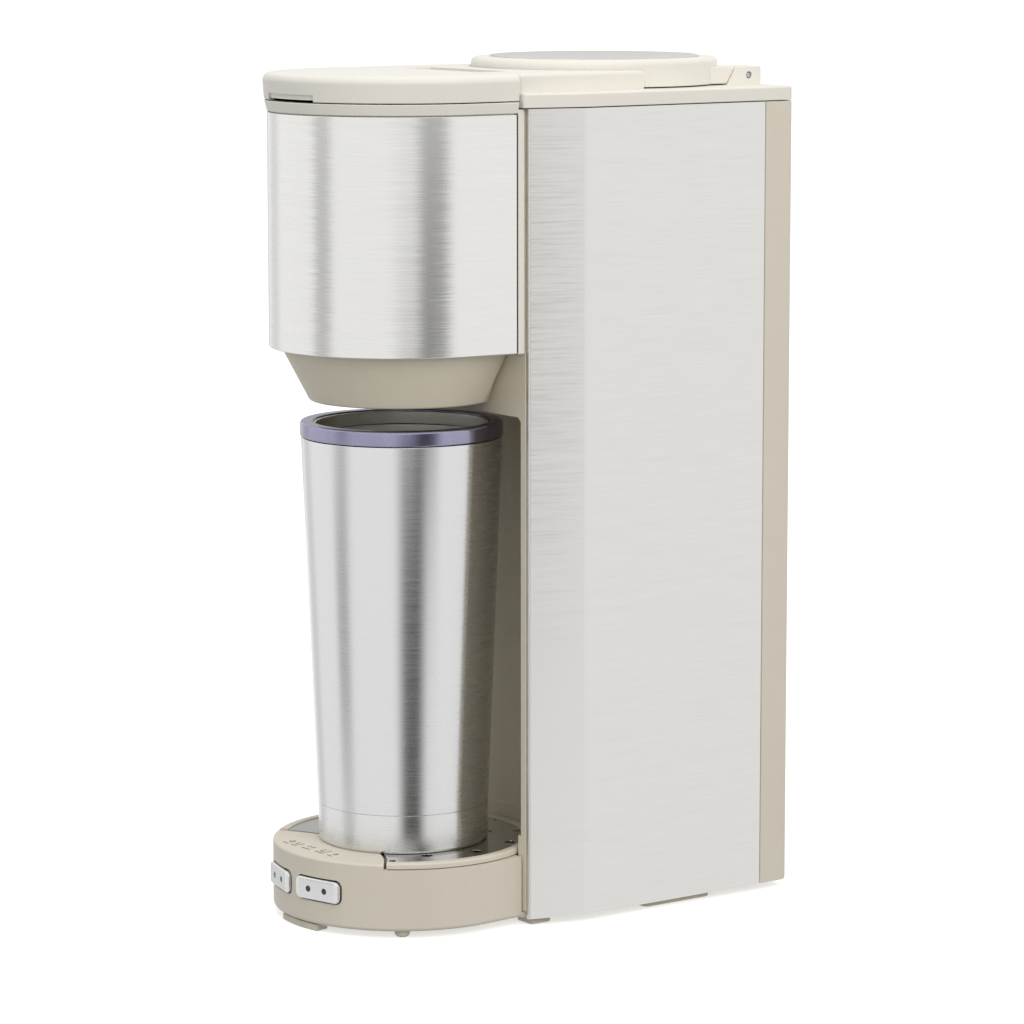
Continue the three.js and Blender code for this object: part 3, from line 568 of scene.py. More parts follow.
def cross_screws() -> bpy.types.NodeTree:
    """Builds the tree that puts a cross-recessed screw at each point, head down.

    Returns:
        The tree.
    """
    sizes = ("Head radius", "Head height", "Shank radius", "Shank length")
    made = GeometryTree("cross_screws", dict.fromkeys(sizes, "Float"))
    given = made.source.outputs
    parts = []
    for part, length in (("Head", given["Head height"]), ("Shank", given["Shank length"])):
        feeds = {"Vertices": 28, "Radius": given[f"{part} radius"], "Depth": length}
        rod = made.add("GeometryNodeMeshCylinder", feeds)
        lift = made.add("ShaderNodeCombineXYZ", {"Z": made.maths("DIVIDE", length, 2.0)})
        parts.append(made.add("GeometryNodeTransform", {"Geometry": rod.outputs[0], "Translation": lift.outputs[0]}))
    whole = made.add("GeometryNodeMeshBoolean", {}, operation="UNION", solver="EXACT")
    for part in parts:
        made.tree.links.new(part.outputs[0], whole.inputs["Mesh 2"])
    recess = made.add("GeometryNodeMeshBoolean", {"Mesh 1": whole.outputs[0]}, operation="DIFFERENCE", solver="EXACT")
    arm = made.maths("MULTIPLY", given["Head radius"], 1.1)
    thin = made.maths("MULTIPLY", given["Head radius"], 0.26)
    for x, y in ((arm, thin), (thin, arm)):
        size = made.add("ShaderNodeCombineXYZ", {"X": x, "Y": y, "Z": given["Head height"]})
        blade = made.add("GeometryNodeMeshCube", {"Size": size.outputs[0]})
        made.tree.links.new(blade.outputs[0], recess.inputs["Mesh 2"])
    placed = made.add("GeometryNodeInstanceOnPoints", {"Points": given["Geometry"], "Instance": recess.outputs[0]})
    return made.close(placed.outputs[0])


def flat_ribbon() -> bpy.types.NodeTree:
    """Builds the tree that lays a thin flat ribbon along each line, as printed lines lie.

    Returns:
        The tree.
    """
    made = GeometryTree("flat_ribbon", dict.fromkeys(("Line width", "Thickness"), "Float"))
    given = made.source.outputs
    line = made.add("GeometryNodeMeshToCurve", {"Mesh": given["Geometry"]}).outputs[0]
    level = made.add("GeometryNodeSetCurveNormal", {"Curve": line}, mode="Z_UP")
    section = made.add(
        "GeometryNodeCurvePrimitiveQuadrilateral", {"Width": given["Line width"], "Height": given["Thickness"]}
    )
    feeds = {"Curve": level.outputs[0], "Profile Curve": section.outputs[0], "Fill Caps": True}
    return made.close(made.add("GeometryNodeCurveToMesh", feeds).outputs[0])


def left_and_right() -> bpy.types.NodeTree:
    """Builds the tree that adds a piece's mirror image on the other side of the machine.

    Returns:
        The tree.
    """
    made = GeometryTree("left_and_right", {})
    given = made.source.outputs
    other = made.add("GeometryNodeTransform", {"Geometry": given["Geometry"], "Scale": (-1.0, 1.0, 1.0)})
    turned = made.add("GeometryNodeFlipFaces", {"Mesh": other.outputs[0]})
    both = made.add("GeometryNodeJoinGeometry", {})
    for part in (given["Geometry"], turned.outputs[0]):
        made.tree.links.new(part, both.inputs[0])
    return made.close(both.outputs[0])


# ---- Finishes ------------------------------------------------------------------------------------------------------
def linear(colour: str, alpha: float = 1.0) -> tuple[float, float, float, float]:
    """Turns an sRGB hex colour such as #dfdbcf into linear light.

    Args:
        colour: The hex colour.
        alpha: The fourth value.

    Returns:
        Linear red, green and blue, and alpha.
    """
    parts = [int(colour[i:i + 2], 16) / 255 for i in (1, 3, 5)]
    r, g, b = (c / 12.92 if c <= 0.04045 else ((c + 0.055) / 1.055) ** 2.4 for c in parts)
    return (r, g, b, alpha)


@dataclass(frozen=True)
class Finish:
    """What a surface is made of and how it was made.

    Attributes:
        name: Name of the material.
        slot: The record's material slot; not used.
        colour: Main sRGB colour.
        shade: sRGB colour of its slightly darker patches or lines.
        roughness: Middle roughness.
        grain_mm: Width of the surface's texture in millimetres.
        relief_mm: Depth of that texture in millimetres.
        metallic: 1 for bare metal and 0 for anything else.
        ior: Index of refraction, left at the default on a metal.
        patchy: How much the colour drifts over patches many grains wide.
    """

    name: str
    slot: str
    colour: str
    shade: str
    roughness: float
    grain_mm: float
    relief_mm: float
    metallic: float = 0.0
    ior: float = 1.5
    patchy: float = 1.0

    def stretch(self) -> tuple[float, float, float]:
        """Returns how long the texture is along each axis, in grain widths."""
        return (1.0, 1.0, 1.0)

    def extras(self, tree: bpy.types.NodeTree, shader: bpy.types.Node, grain: bpy.types.NodeSocket) -> None:
        """Adds what only this kind of finish has."""

    def material(self) -> bpy.types.Material:
        """Returns the finish's material, made once.

        Returns:
            A material whose colour, roughness and relief follow the texture.
        """
        known = bpy.data.materials.get(self.name)
        if known:
            return known
        made = bpy.data.materials.new(self.name)
        made.use_nodes = True
        tree = made.node_tree
        tree.nodes.clear()
        place = add_node(tree, "ShaderNodeTexCoord", {}).outputs["Object"]
        scale = tuple(1 / (MM * self.grain_mm * along) for along in self.stretch())
        fitted = add_node(tree, "ShaderNodeMapping", {"Vector": place, "Scale": scale}).outputs[0]
        fine = add_node(tree, "ShaderNodeTexNoise", {"Vector": fitted, "Scale": 1.0, "Detail": 3.0, "Roughness": 0.55})
        grain = fine.outputs[0]
        broad = tuple(s / 14 for s in scale)
        spread = add_node(tree, "ShaderNodeMapping", {"Vector": place, "Scale": broad}).outputs[0]
        cloud = add_node(tree, "ShaderNodeTexNoise", {"Vector": spread, "Scale": 1.0, "Detail": 2.0}).outputs[0]
        feeds = {0: cloud, 1: self.patchy, 2: grain}
        both = add_node(tree, "ShaderNodeMath", feeds, operation="MULTIPLY_ADD").outputs[0]
        middle = 0.5 + 0.5 * self.patchy
        feeds = {0: both, 1: middle - 0.3, 2: middle + 0.3, 3: 0.0, 4: 1.0}
        blend = add_node(tree, "ShaderNodeMapRange", feeds, interpolation_type="SMOOTHSTEP").outputs[0]
        feeds = {"Factor": blend, 6: linear(self.shade), 7: linear(self.colour)}
        tone = add_node(tree, "ShaderNodeMix", feeds, data_type="RGBA").outputs[2]
        feeds = {0: blend, 1: 0.0, 2: 1.0, 3: self.roughness * 1.12, 4: self.roughness * 0.9}
        rough = add_node(tree, "ShaderNodeMapRange", feeds).outputs[0]
        relief = {"Height": grain, "Strength": 0.6, "Distance": self.relief_mm * MM}
        bump = add_node(tree, "ShaderNodeBump", relief).outputs[0]
        feeds = {"Base Color": tone, "Roughness": rough, "Normal": bump, "Metallic": self.metallic, "IOR": self.ior}
        shader = add_node(tree, "ShaderNodeBsdfPrincipled", feeds)
        self.extras(tree, shader, grain)
        add_node(tree, "ShaderNodeOutputMaterial", {"Surface": shader.outputs[0]})
        made.diffuse_color = linear(self.colour)
        return made


class Brush(Enum):
    """Which way the brush lines of a steel sheet run, as texture lengths along X, Y and Z."""

    LEVEL = (60.0, 60.0, 1.0)
    CROSSWISE = (60.0, 1.0, 1.0)


@dataclass(frozen=True)
class BrushedSteel(Finish):
    """Stainless sheet with fine one-way brush lines, which smear reflections across the lines."""

    metallic: float = 1.0
    patchy: float = 0.12
    brush: Brush = Brush.LEVEL
    anisotropy: float = 0.8
    sway: float = 0.25

    def stretch(self) -> tuple[float, float, float]:
        """Returns the brush lines' length along each axis, in line widths."""
        return self.brush.value

    def extras(self, tree: bpy.types.NodeTree, shader: bpy.types.Node, grain: bpy.types.NodeSocket) -> None:
        """Turns the rough direction across the brush lines, and lets each line lean a little to one side.

        Args:
            tree: The material's tree.
            shader: Its shader node.
            grain: The fine texture, from 0 to 1.
        """
        normal = add_node(tree, "ShaderNodeNewGeometry", {}).outputs["Normal"]
        feeds = {0: normal, 1: (0.0, 0.0, 1.0)}
        along = add_node(tree, "ShaderNodeVectorMath", feeds, operation="CROSS_PRODUCT").outputs[0]
        feeds = {0: grain, 1: self.sway, 2: -0.5 * self.sway}
        lean = add_node(tree, "ShaderNodeMath", feeds, operation="MULTIPLY_ADD").outputs[0]
        side = add_node(tree, "ShaderNodeVectorMath", {0: along, "Scale": lean}, operation="SCALE").outputs[0]
        leaning = add_node(tree, "ShaderNodeVectorMath", {0: normal, 1: side}, operation="ADD").outputs[0]
        tree.links.new(leaning, shader.inputs["Normal"].links[0].from_node.inputs["Normal"])
        across = (0.0, 0.0, 1.0) if self.brush is Brush.LEVEL else (0.0, 1.0, 0.0)
        fixed = add_node(tree, "ShaderNodeCombineXYZ", dict(enumerate(across))).outputs[0]
        turn = {"vector_type": "VECTOR", "convert_from": "OBJECT", "convert_to": "WORLD"}
        world = add_node(tree, "ShaderNodeVectorTransform", {"Vector": fixed}, **turn).outputs[0]
        tree.links.new(world, shader.inputs["Tangent"])
        shader.inputs["Anisotropic"].default_value = self.anisotropy


@dataclass(frozen=True)
class ClearPlastic(Finish):
    """Injection-moulded clear plastic, which passes light with a faint tint."""

    transmission: float = 0.9

    def extras(self, tree: bpy.types.NodeTree, shader: bpy.types.Node, grain: bpy.types.NodeSocket) -> None:
        """Lets light through."""
        shader.inputs["Transmission Weight"].default_value = self.transmission


@dataclass(frozen=True)
class WovenMesh(Finish):
    """Etched steel filter mesh: rows of fine round holes that read as dark dots."""

    metallic: float = 1.0
    pitch_mm: float = 1.4

    def extras(self, tree: bpy.types.NodeTree, shader: bpy.types.Node, grain: bpy.types.NodeSocket) -> None:
        """Darkens the holes, drawn at 1.4 mm pitch where real ones are about 0.5 mm, so that they show.

        Args:
            tree: The material's tree.
            shader: Its shader node.
            grain: The fine texture, from 0 to 1.
        """
        place = add_node(tree, "ShaderNodeTexCoord", {}).outputs["Object"]
        feeds = {"Vector": place, "Scale": 1 / (self.pitch_mm * MM), "Randomness": 0.1}
        cells = add_node(tree, "ShaderNodeTexVoronoi", feeds).outputs["Distance"]
        open_part = add_node(tree, "ShaderNodeMapRange", {0: cells, 1: 0.3, 2: 0.36, 3: 0.0, 4: 1.0}).outputs[0]
        tone = shader.inputs["Base Color"].links[0].from_socket
        feeds = {"Factor": open_part, 6: linear("#24231f"), 7: tone}
        mixed = add_node(tree, "ShaderNodeMix", feeds, data_type="RGBA").outputs[2]
        tree.links.new(mixed, shader.inputs["Base Color"])


@dataclass(frozen=True)
class SolderMask(Finish):
    """Green epoxy board: copper tracks under the lacquer show as lighter straight lines."""

    track_mm: float = 2.5

    def extras(self, tree: bpy.types.NodeTree, shader: bpy.types.Node, grain: bpy.types.NodeSocket) -> None:
        """Draws the tracks as the joints of a brick pattern at their real pitch.

        Args:
            tree: The material's tree.
            shader: Its shader node.
            grain: The fine texture, from 0 to 1.
        """
        place = add_node(tree, "ShaderNodeTexCoord", {}).outputs["Object"]
        tone = shader.inputs["Base Color"].links[0].from_socket
        feeds = {
            "Vector": place, "Scale": 1 / (self.track_mm * 4 * MM), "Color1": tone, "Color2": tone,
            "Mortar": linear("#4d9468"), "Mortar Size": 0.05,
        }
        tracks = add_node(tree, "ShaderNodeTexBrick", feeds)
        tree.links.new(tracks.outputs["Color"], shader.inputs["Base Color"])


# Injection-moulded ABS with a spark-eroded satin surface: a soft sheen and almost no visible grain. The grain is
# about 0.1 mm on such a mould and is drawn at 0.5 mm, so that it shows.
CREAM_ABS = Finish(
    "moulded_cream_abs", "cream_plastic", "#e9e6dd", "#e6e2d9", 0.42, 0.5, 0.012, ior=1.53, patchy=0.35
)
# A warmer, darker copy of the cream for the base housing, drip tray and rear cover: the warm tone is the plastic's own,
# the darker tone is partly painted shade, most of all on the rear cover.
CREAM_WARM_SHADED = Finish(
    "moulded_cream_abs_warm_shaded", "cream_plastic", "#dbd4c5", "#d7cfc0", 0.46, 0.5, 0.012, ior=1.53, patchy=0.35
)
CREAM_INNER = Finish(
    "moulded_cream_abs_inner", "cream_plastic", "#ddd5c3", "#d8d0bc", 0.5, 0.5, 0.012, ior=1.53, patchy=0.35
)
# Brushed 304 stainless sheet: level lines about 0.1 mm wide, drawn at 0.35 mm so that they show.
PANEL_STEEL = BrushedSteel("brushed_stainless_panel", "brushed_steel", "#dbdad7", "#d6d5d1", 0.34, 0.35, 0.008)
HEAD_STEEL = BrushedSteel(
    "brushed_stainless_wrap", "brushed_steel", "#e0dfdd", "#dcdbd8", 0.27, 0.35, 0.003, anisotropy=0.88, sway=0.13
)
MUG_STEEL = BrushedSteel(
    "satin_stainless_mug", "brushed_steel", "#dadada", "#d8d8d8", 0.26, 0.3, 0.0005, anisotropy=0.85, sway=0.012
)
INLAY_STEEL = BrushedSteel(
    "brushed_stainless_inlay", "brushed_steel", "#d2d2d1", "#c8c8c6", 0.3, 0.35, 0.01, brush=Brush.CROSSWISE
)
# Polished 304 stainless: nearly a mirror, with faint wiping marks.
MIRROR_STEEL = Finish(
    "polished_stainless_plate", "polished_steel", "#c9c7c3", "#c1bfba", 0.14, 0.8, 0.001, metallic=1.0
)
BUTTON_STEEL = Finish(
    "polished_stainless_button", "polished_steel", "#dcdcdd", "#d8d8da", 0.26, 0.5, 0.0005, metallic=1.0, patchy=0.3
)
# Stainless with a vapour-deposited violet coat: a glossy coloured metal.
VIOLET_STEEL = Finish("violet_coated_stainless", "tinted_metal", "#9795ae", "#8f8da6", 0.2, 0.8, 0.001, metallic=1.0)
LINER_STEEL = Finish(
    "electropolished_liner", "polished_steel", "#e2dfd9", "#dcd9d2", 0.34, 0.7, 0.0015, metallic=1.0, patchy=0.3
)
# Bright zinc plate on steel: pale grey with a faint cloudy bloom.
ZINC = Finish("bright_zinc_plate", "zinc_steel", "#b4b6ba", "#a2a5aa", 0.35, 0.8, 0.01, metallic=1.0)
# Die-cast aluminium: a dull, slightly pebbled grey.
CAST_ALUMINIUM = Finish("die_cast_aluminium", "cast_aluminium", "#b0b2b4", "#9fa1a4", 0.5, 1.2, 0.05, metallic=1.0)
# Silicone rubber: matt and waxy.
FOOT_RUBBER = Finish("moulded_silicone_foot", "foot_rubber", "#d9d2c3", "#cfc7b7", 0.7, 0.6, 0.03, ior=1.41)
# A dark brown strip that is no real part: it paints the shade in the gap between the steel wrap's back edges and the
# tower's front.
PAINTED_GAP_SHADE = Finish("painted_gap_shade_strip", "charcoal_plastic", "#4b4437", "#3d372c", 0.9, 0.7, 0.05, ior=1.45)
CLEAR_SILICONE = Finish("pale_silicone", "silicone", "#e2e0d9", "#d8d5cc", 0.5, 0.9, 0.01, ior=1.41)
# Glass-filled nylon: dark grey with a fine matt tooth.
CHARCOAL_NYLON = Finish("charcoal_nylon", "charcoal_plastic", "#3a3a38", "#30302e", 0.52, 0.5, 0.02, ior=1.53)
# Smoked polycarbonate over a lamp: black and glossy.
SMOKED_WINDOW = Finish("smoked_polycarbonate", "indicator_black", "#15161a", "#101114", 0.12, 0.9, 0.001, ior=1.585)
PAD_INK = Finish("grey_printed_ink", "cream_plastic", "#5f594e", "#554f45", 0.6, 0.4, 0.004, ior=1.5)
TANK_PLASTIC = ClearPlastic(
    "clear_tank_copolyester", "clear_plastic", "#eef3f3", "#e6eded", 0.08, 1.5, 0.002, ior=1.57
)
FILTER_MESH = WovenMesh("etched_filter_mesh", "polished_steel", "#c2b89c", "#b2a78a", 0.35, 0.6, 0.01)
BOARD = SolderMask("green_circuit_board", "circuit_board", "#2f6b46", "#2a6040", 0.4, 0.8, 0.01, ior=1.55)


# ---- Tower ---------------------------------------------------------------------------------------------------------
@dataclass
class Tower:
    """The tower: its frame with the mug bay, steel side panels, rear cover, bottom plate and feet."""

    shop: Workshop
    front_half: float = 53.2
    half: float = 59.3
    bend_y: float = 22.7
    bend_r: float = 14.0
    panel_back: float = 107.1
    back: float = 122.0
    rear_corner: float = 4.0
    panel: float = 1.0
    wall: float = 2.2
    gap: float = 0.35
    axis_y: float = AXIS_Y
    bay_r: float = 52.0
    bay_top: float = 193.0
    bay_floor: float = 12.2
    ledge_r: float = 50.4
    ledge_top: float = 34.0
    bay_chamfer: float = 2.6
    fold: float = 2.0
    low: float = field(init=False)
    high: float = field(init=False)

    def __post_init__(self) -> None:
        """Takes the tower's lower and upper edge from a side panel."""
        self.low, self.high = (getattr(self.shop.frame, end)("side_panel_right").z for end in ("low", "high"))

    def side(self, depth: float) -> list[tuple[float, float, float]]:
        """Returns the front corner and the bend of one side, at a depth inside its outer face."""
        return [(self.front_half - depth, depth, 0.0), (self.half - depth, self.bend_y + depth / 3, self.bend_r)]

    def build(self) -> None:
        """Builds every piece of the tower."""
        self._panels()
        self._frame()
        self._rear_cover()
        self._bottom()
        self._feet()

    def _panels(self) -> None:
        """Folds the two side panels from brushed sheet."""
        t = self.panel
        bend_x, bend_y, bend_r = self.side(0)[1]
        inner_x, inner_y, _ = self.side(t)[1]
        corners = [
            (self.front_half - self.fold, 0, 0.3), (self.front_half - 0.3, 0, 0.7), (bend_x, bend_y, bend_r),
            (self.half, self.panel_back, 0.3), (self.half - t, self.panel_back, 0.3),
            (inner_x, inner_y, bend_r), (self.front_half - t - 0.1, t, 0.3), (self.front_half - self.fold, t, 0.3),
        ]
        outline = rounded_polygon(corners)
        for name, sign in (("right", 1), ("left", -1)):
            turned = [(sign * x, y) for x, y in outline]
            blank = self.shop.prism(turned if sign > 0 else turned[::-1], [(0, self.low), (0, self.high)])
            blank.piece(f"side_panel_{name}_skin", PANEL_STEEL, "machine", f"side_panel_{name}")

    def _bay(self) -> Blank:
        """Makes the room for the mug, as a cutting body.

        Returns:
            The cutting body.
        """
        shop, top, r = self.shop, self.bay_top, self.bay_r
        upper = shop.rod(0, self.axis_y, r, self.ledge_top, top, ROUND_STEPS)
        width = r * 0.1 + 4 + self.bay_chamfer
        past, roof = r * 1.1, top + 0.5
        corners = [
            shop.prism_y([(s * (past - width), roof), (s * past, roof), (s * past, roof - width)], -1, 40)
            for s in (1, -1)
        ]
        lower = shop.rod(0, self.axis_y, self.ledge_r, self.bay_floor, self.ledge_top + 0.01, ROUND_STEPS)
        return upper.cut(*corners).join(lower)

    def _frame(self) -> None:
        """Moulds the tower's frame with the bay in its front."""
        shop, gap, wall = self.shop, self.gap, self.wall
        bottom, high, step, back = self.low + wall + gap, self.high, self.panel + gap, self.panel_back - gap
        in_fold = self.front_half - self.fold - gap
        outer = [(in_fold, 0, 0.6), (in_fold, step, 0), (self.side(step)[0][0], step, 0), self.side(step)[1],
                 (self.half - step, back, 0)]
        inner = [self.side(step + wall)[0], self.side(step + wall)[1], (self.half - step - wall, back + 1, 0)]
        shell = shop.prism(rounded_polygon(mirrored(outer)), [(0, bottom), (0, high)])
        shell.cut(shop.prism(rounded_polygon(mirrored(inner)), [(0, bottom - 1), (0, high + 1)]))
        tub = shop.rod(0, self.axis_y, self.bay_r + wall, self.bay_floor - wall, self.bay_top + wall, ROUND_STEPS)
        tub.cut(shop.box(-WIDE, WIDE, -100, wall / 2, 0, 400))
        shell.join(tub)
        shell.cut(self._bay(), shop.box(-30, 30, -1, wall + 0.5, bottom - 1, 9), shop.rod_y(0, 296, 5, -1, 5))
        shell.soften(0.35)
        shell.piece("tower_frame_moulding", CREAM_INNER, "machine", "tower_frame")

    def _rear_cover(self) -> None:
        """Moulds the rear cover, rounded at its back corners and its lower rear edge."""
        shop, low, high, front, toe = self.shop, self.low, self.high, self.panel_back + self.gap, 3.0
        corners = mirrored([(self.half, front, 0.5), (self.half, self.back, self.rear_corner)])
        outline = rounded_polygon(corners, 12)

        def clamp(depth: float) -> list[Point2]:
            """Keeps the outline in front of the rounded lower rear edge."""
            return [(x, min(y, self.back - depth)) for x, y in outline]

        shell = shop.stack(clamp, soft_levels(low, high, toe, 0))
        wall = self.wall
        hollow = mirrored([(self.half - wall, front - 2, 0), (self.half - wall, self.back - wall, 1.8)])
        shell.cut(shop.prism(rounded_polygon(hollow), [(0, low + wall), (0, high + 1)]))
        shell.join(shop.box(24, 48, self.back - 5.2, self.back - 1.1, 10, 34))
        x, z = 36, 22
        square = [(x + px, z + pz) for px, pz in rounded_rectangle(20, 20, 2.5)]
        pocket = shop.prism_y(square, self.back - 3, self.back + 1)
        shell.cut(pocket, shop.rod_y(x, z, 5, self.back - 8, self.back, 40))
        shell.soften(0.35)
        # The darker cream paints shade on the rear cover.
        shell.piece("rear_cover_moulding", CREAM_WARM_SHADED, "machine", "rear_cover")

    def _bottom(self) -> None:
        """Makes the bottom plate with its vents and cross-recessed screws."""
        shop, low, step = self.shop, self.low, self.panel + self.gap
        top = low + self.wall
        side = self.side(step)[1]
        plan = [(44.9, -3.5, 0), (50, 1.6, 0), side, (self.half - step, self.panel_back - 0.4, 0)]
        plate = shop.prism(rounded_polygon(mirrored(plan)), [(0, low), (0, top)])
        nose = round_front(self.axis_y, self.shop.frame.high("base_housing").x - 3, 45, 0)
        plate.join(shop.prism(nose, [(0, low), (0, top)]))
        places = [(x, y) for y, x0 in ((-36, 30), (98, 44)) for x in (-x0, x0)]
        plate.cut(*[shop.rod(x, y, 3.5, low - 1, low + 1.2) for x, y in places])
        front = self.shop.frame.front_y
        plate.grow(row_of_slots(), Centre_Y=(75 + front) * MM, Pitch=9 * MM, Slot_width=3 * MM, Slot_length=34 * MM,
                   Count=5, Material=CREAM_INNER.material())
        plate.soften(0.25)
        plate.piece("bottom_plate_moulding", CREAM_INNER, "machine", "bottom_plate")
        seats = self._points([(x, y, low + 0.1) for x, y in places])
        seats.grow(cross_screws(), Head_radius=3.1 * MM, Head_height=0.8 * MM, Shank_radius=1.5 * MM,
                   Shank_length=6.4 * MM, Material=ZINC.material())
        seats.soften(0.12, 1)
        seats.piece("bottom_screws", ZINC, "machine", *[f"bottom_screw_{i}" for i in range(1, 5)])

    def _points(self, places: Sequence[Point3]) -> Blank:
        """Makes a blank of loose points.

        Args:
            places: The points, in millimetres of the working axes.

        Returns:
            The blank.
        """
        blank = self.shop.box(0, 1, 0, 1, 0, 1)
        blank.obj.data = bpy.data.meshes.new("points")
        blank.obj.data.from_pydata([self.shop.frame.metres(p) for p in places], [], [])
        return blank

    def _feet(self) -> None:
        """Moulds the feet, which are pressed into the bottom plate."""
        shop, top = self.shop, self.low - 0.3
        levels = soft_levels(0, top, 0.5, 0, 4)
        front = [*arc(0, self.axis_y, 49, -104, -76, 24), *arc(0, self.axis_y, 43.5, -76, -104, 24)]
        shop.prism(front, levels).piece("foot_front_pad", FOOT_RUBBER, "machine", "foot_front")
        pair = left_and_right()
        round_pad = shop.prism(arc(36.5, -46.8, 2.9, 0, 351, 39), soft_levels(0, top, 1.6, 0, 6))
        middle = shop.prism([(x + 46, y + 7.25) for x, y in rounded_rectangle(10, 9.5, 1.6)], levels)
        rear = shop.prism([(x + 51, y + 70) for x, y in rounded_rectangle(8, 32, 2.4)], levels)
        for name, blank in (("round", round_pad), ("mid", middle), ("rear", rear)):
            blank.grow(pair, Material=FOOT_RUBBER.material())
            stands_for = [f"foot_{name}_{side}" for side in ("left", "right")]
            blank.piece(f"feet_{name}_pads", FOOT_RUBBER, "machine", *stands_for)


# ---- Top deck and lids ---------------------------------------------------------------------------------------------
@dataclass
class TopDeck:
    """The deck that caps the tower, with its raised platform, hinge lugs and filling neck."""

    shop: Workshop
    tower: Tower
    flange_front: float = -2.4
    flange_top: float = 313.3
    platform_top: float = 320.3
    platform_edge: float = 1.5
    tank_y: float = 70.0
    tank_r: float = 47.6
    lug_half: float = 40.0
    lug_inner: float = 26.0
    fill_y: float = 68.0
    fill_r: float = 33.0

    def slope(self, offset: float) -> list[Point2]:
        """Returns the sloping split between the tank lid and its hinge lugs, from below upwards.

        Args:
            offset: How far behind the split the line lies.

        Returns:
            Y and Z of the line's two ends.
        """
        foot = self.shop.frame.high("tank_lid_inlay").z - 0.6
        start = 114.5 - 11.4 + offset
        return [(start - 1.5, self.flange_top - 2), (start + 9.2, foot + 4)]

    def build(self) -> None:
        """Builds the deck and the two hinge pins."""
        shop, tower, top = self.shop, self.tower, self.platform_top
        base = shop.frame.low("top_deck").z
        plan = mirrored([
            (tower.front_half, self.flange_front, 1.2), (tower.half, tower.bend_y, tower.bend_r),
            (tower.half, tower.back, tower.rear_corner),
        ])
        deck = shop.prism(rounded_polygon(plan, 10), soft_levels(base, self.flange_top, 0.3, 0.9))
        raised = rounded_polygon(mirrored([(50.8, self.flange_front, 2.0), (48.1, 57, 0)]), 8)
        platform = shop.prism(raised, soft_levels(self.flange_top - 1, top, 0, self.platform_edge))
        platform.cut(shop.rod(0, self.tank_y, self.tank_r + 0.6, self.flange_top, top + 1, ROUND_STEPS))
        neck = shop.rod(0, self.fill_y, self.fill_r + 2.5, self.flange_top - 1, self.flange_top + 4.5, 96)
        back = tower.back - 1.4
        lugs = []
        for sign in (1, -1):
            side = [*self.slope(0.8), (back, 330.0), (back, self.flange_top - 2)]
            x0, x1 = sorted((sign * self.lug_inner, sign * self.lug_half))
            room = shop.box(-WIDE, WIDE, 0, 200, self.flange_top - 1, top)
            lugs.append(shop.prism_x(side, x0, x1).keep(room).soften(0.5, 3))
        deck.join(platform, neck, *lugs)
        hinge = shop.frame.middle("brew_hinge_pin")
        rear = shop.frame.middle("tank_hinge_pin")
        deck.cut(
            shop.rod(0, self.fill_y, self.fill_r, 300, 330, 96),
            shop.box(-25, 25, self.flange_front - 1, 10.5, hinge.z - 2.7, 330),
            shop.rod_x(hinge.y, hinge.z, PIN_BORE_R, -33.4, 33.4),
            shop.rod_x(rear.y, rear.z, PIN_BORE_R, -41, 41),
        )
        deck.soften(0.3, 2, 55)
        deck.piece("top_deck_moulding", CREAM_ABS, "machine", "top_deck")
        for name, at, half in (("brew", hinge, 33), ("tank", rear, 39.6)):
            pin = shop.rod_x(at.y, at.z, 1.05, -half, half).soften(0.2)
            pin.piece(f"{name}_hinge_pin_steel", ZINC, "machine", f"{name}_hinge_pin")


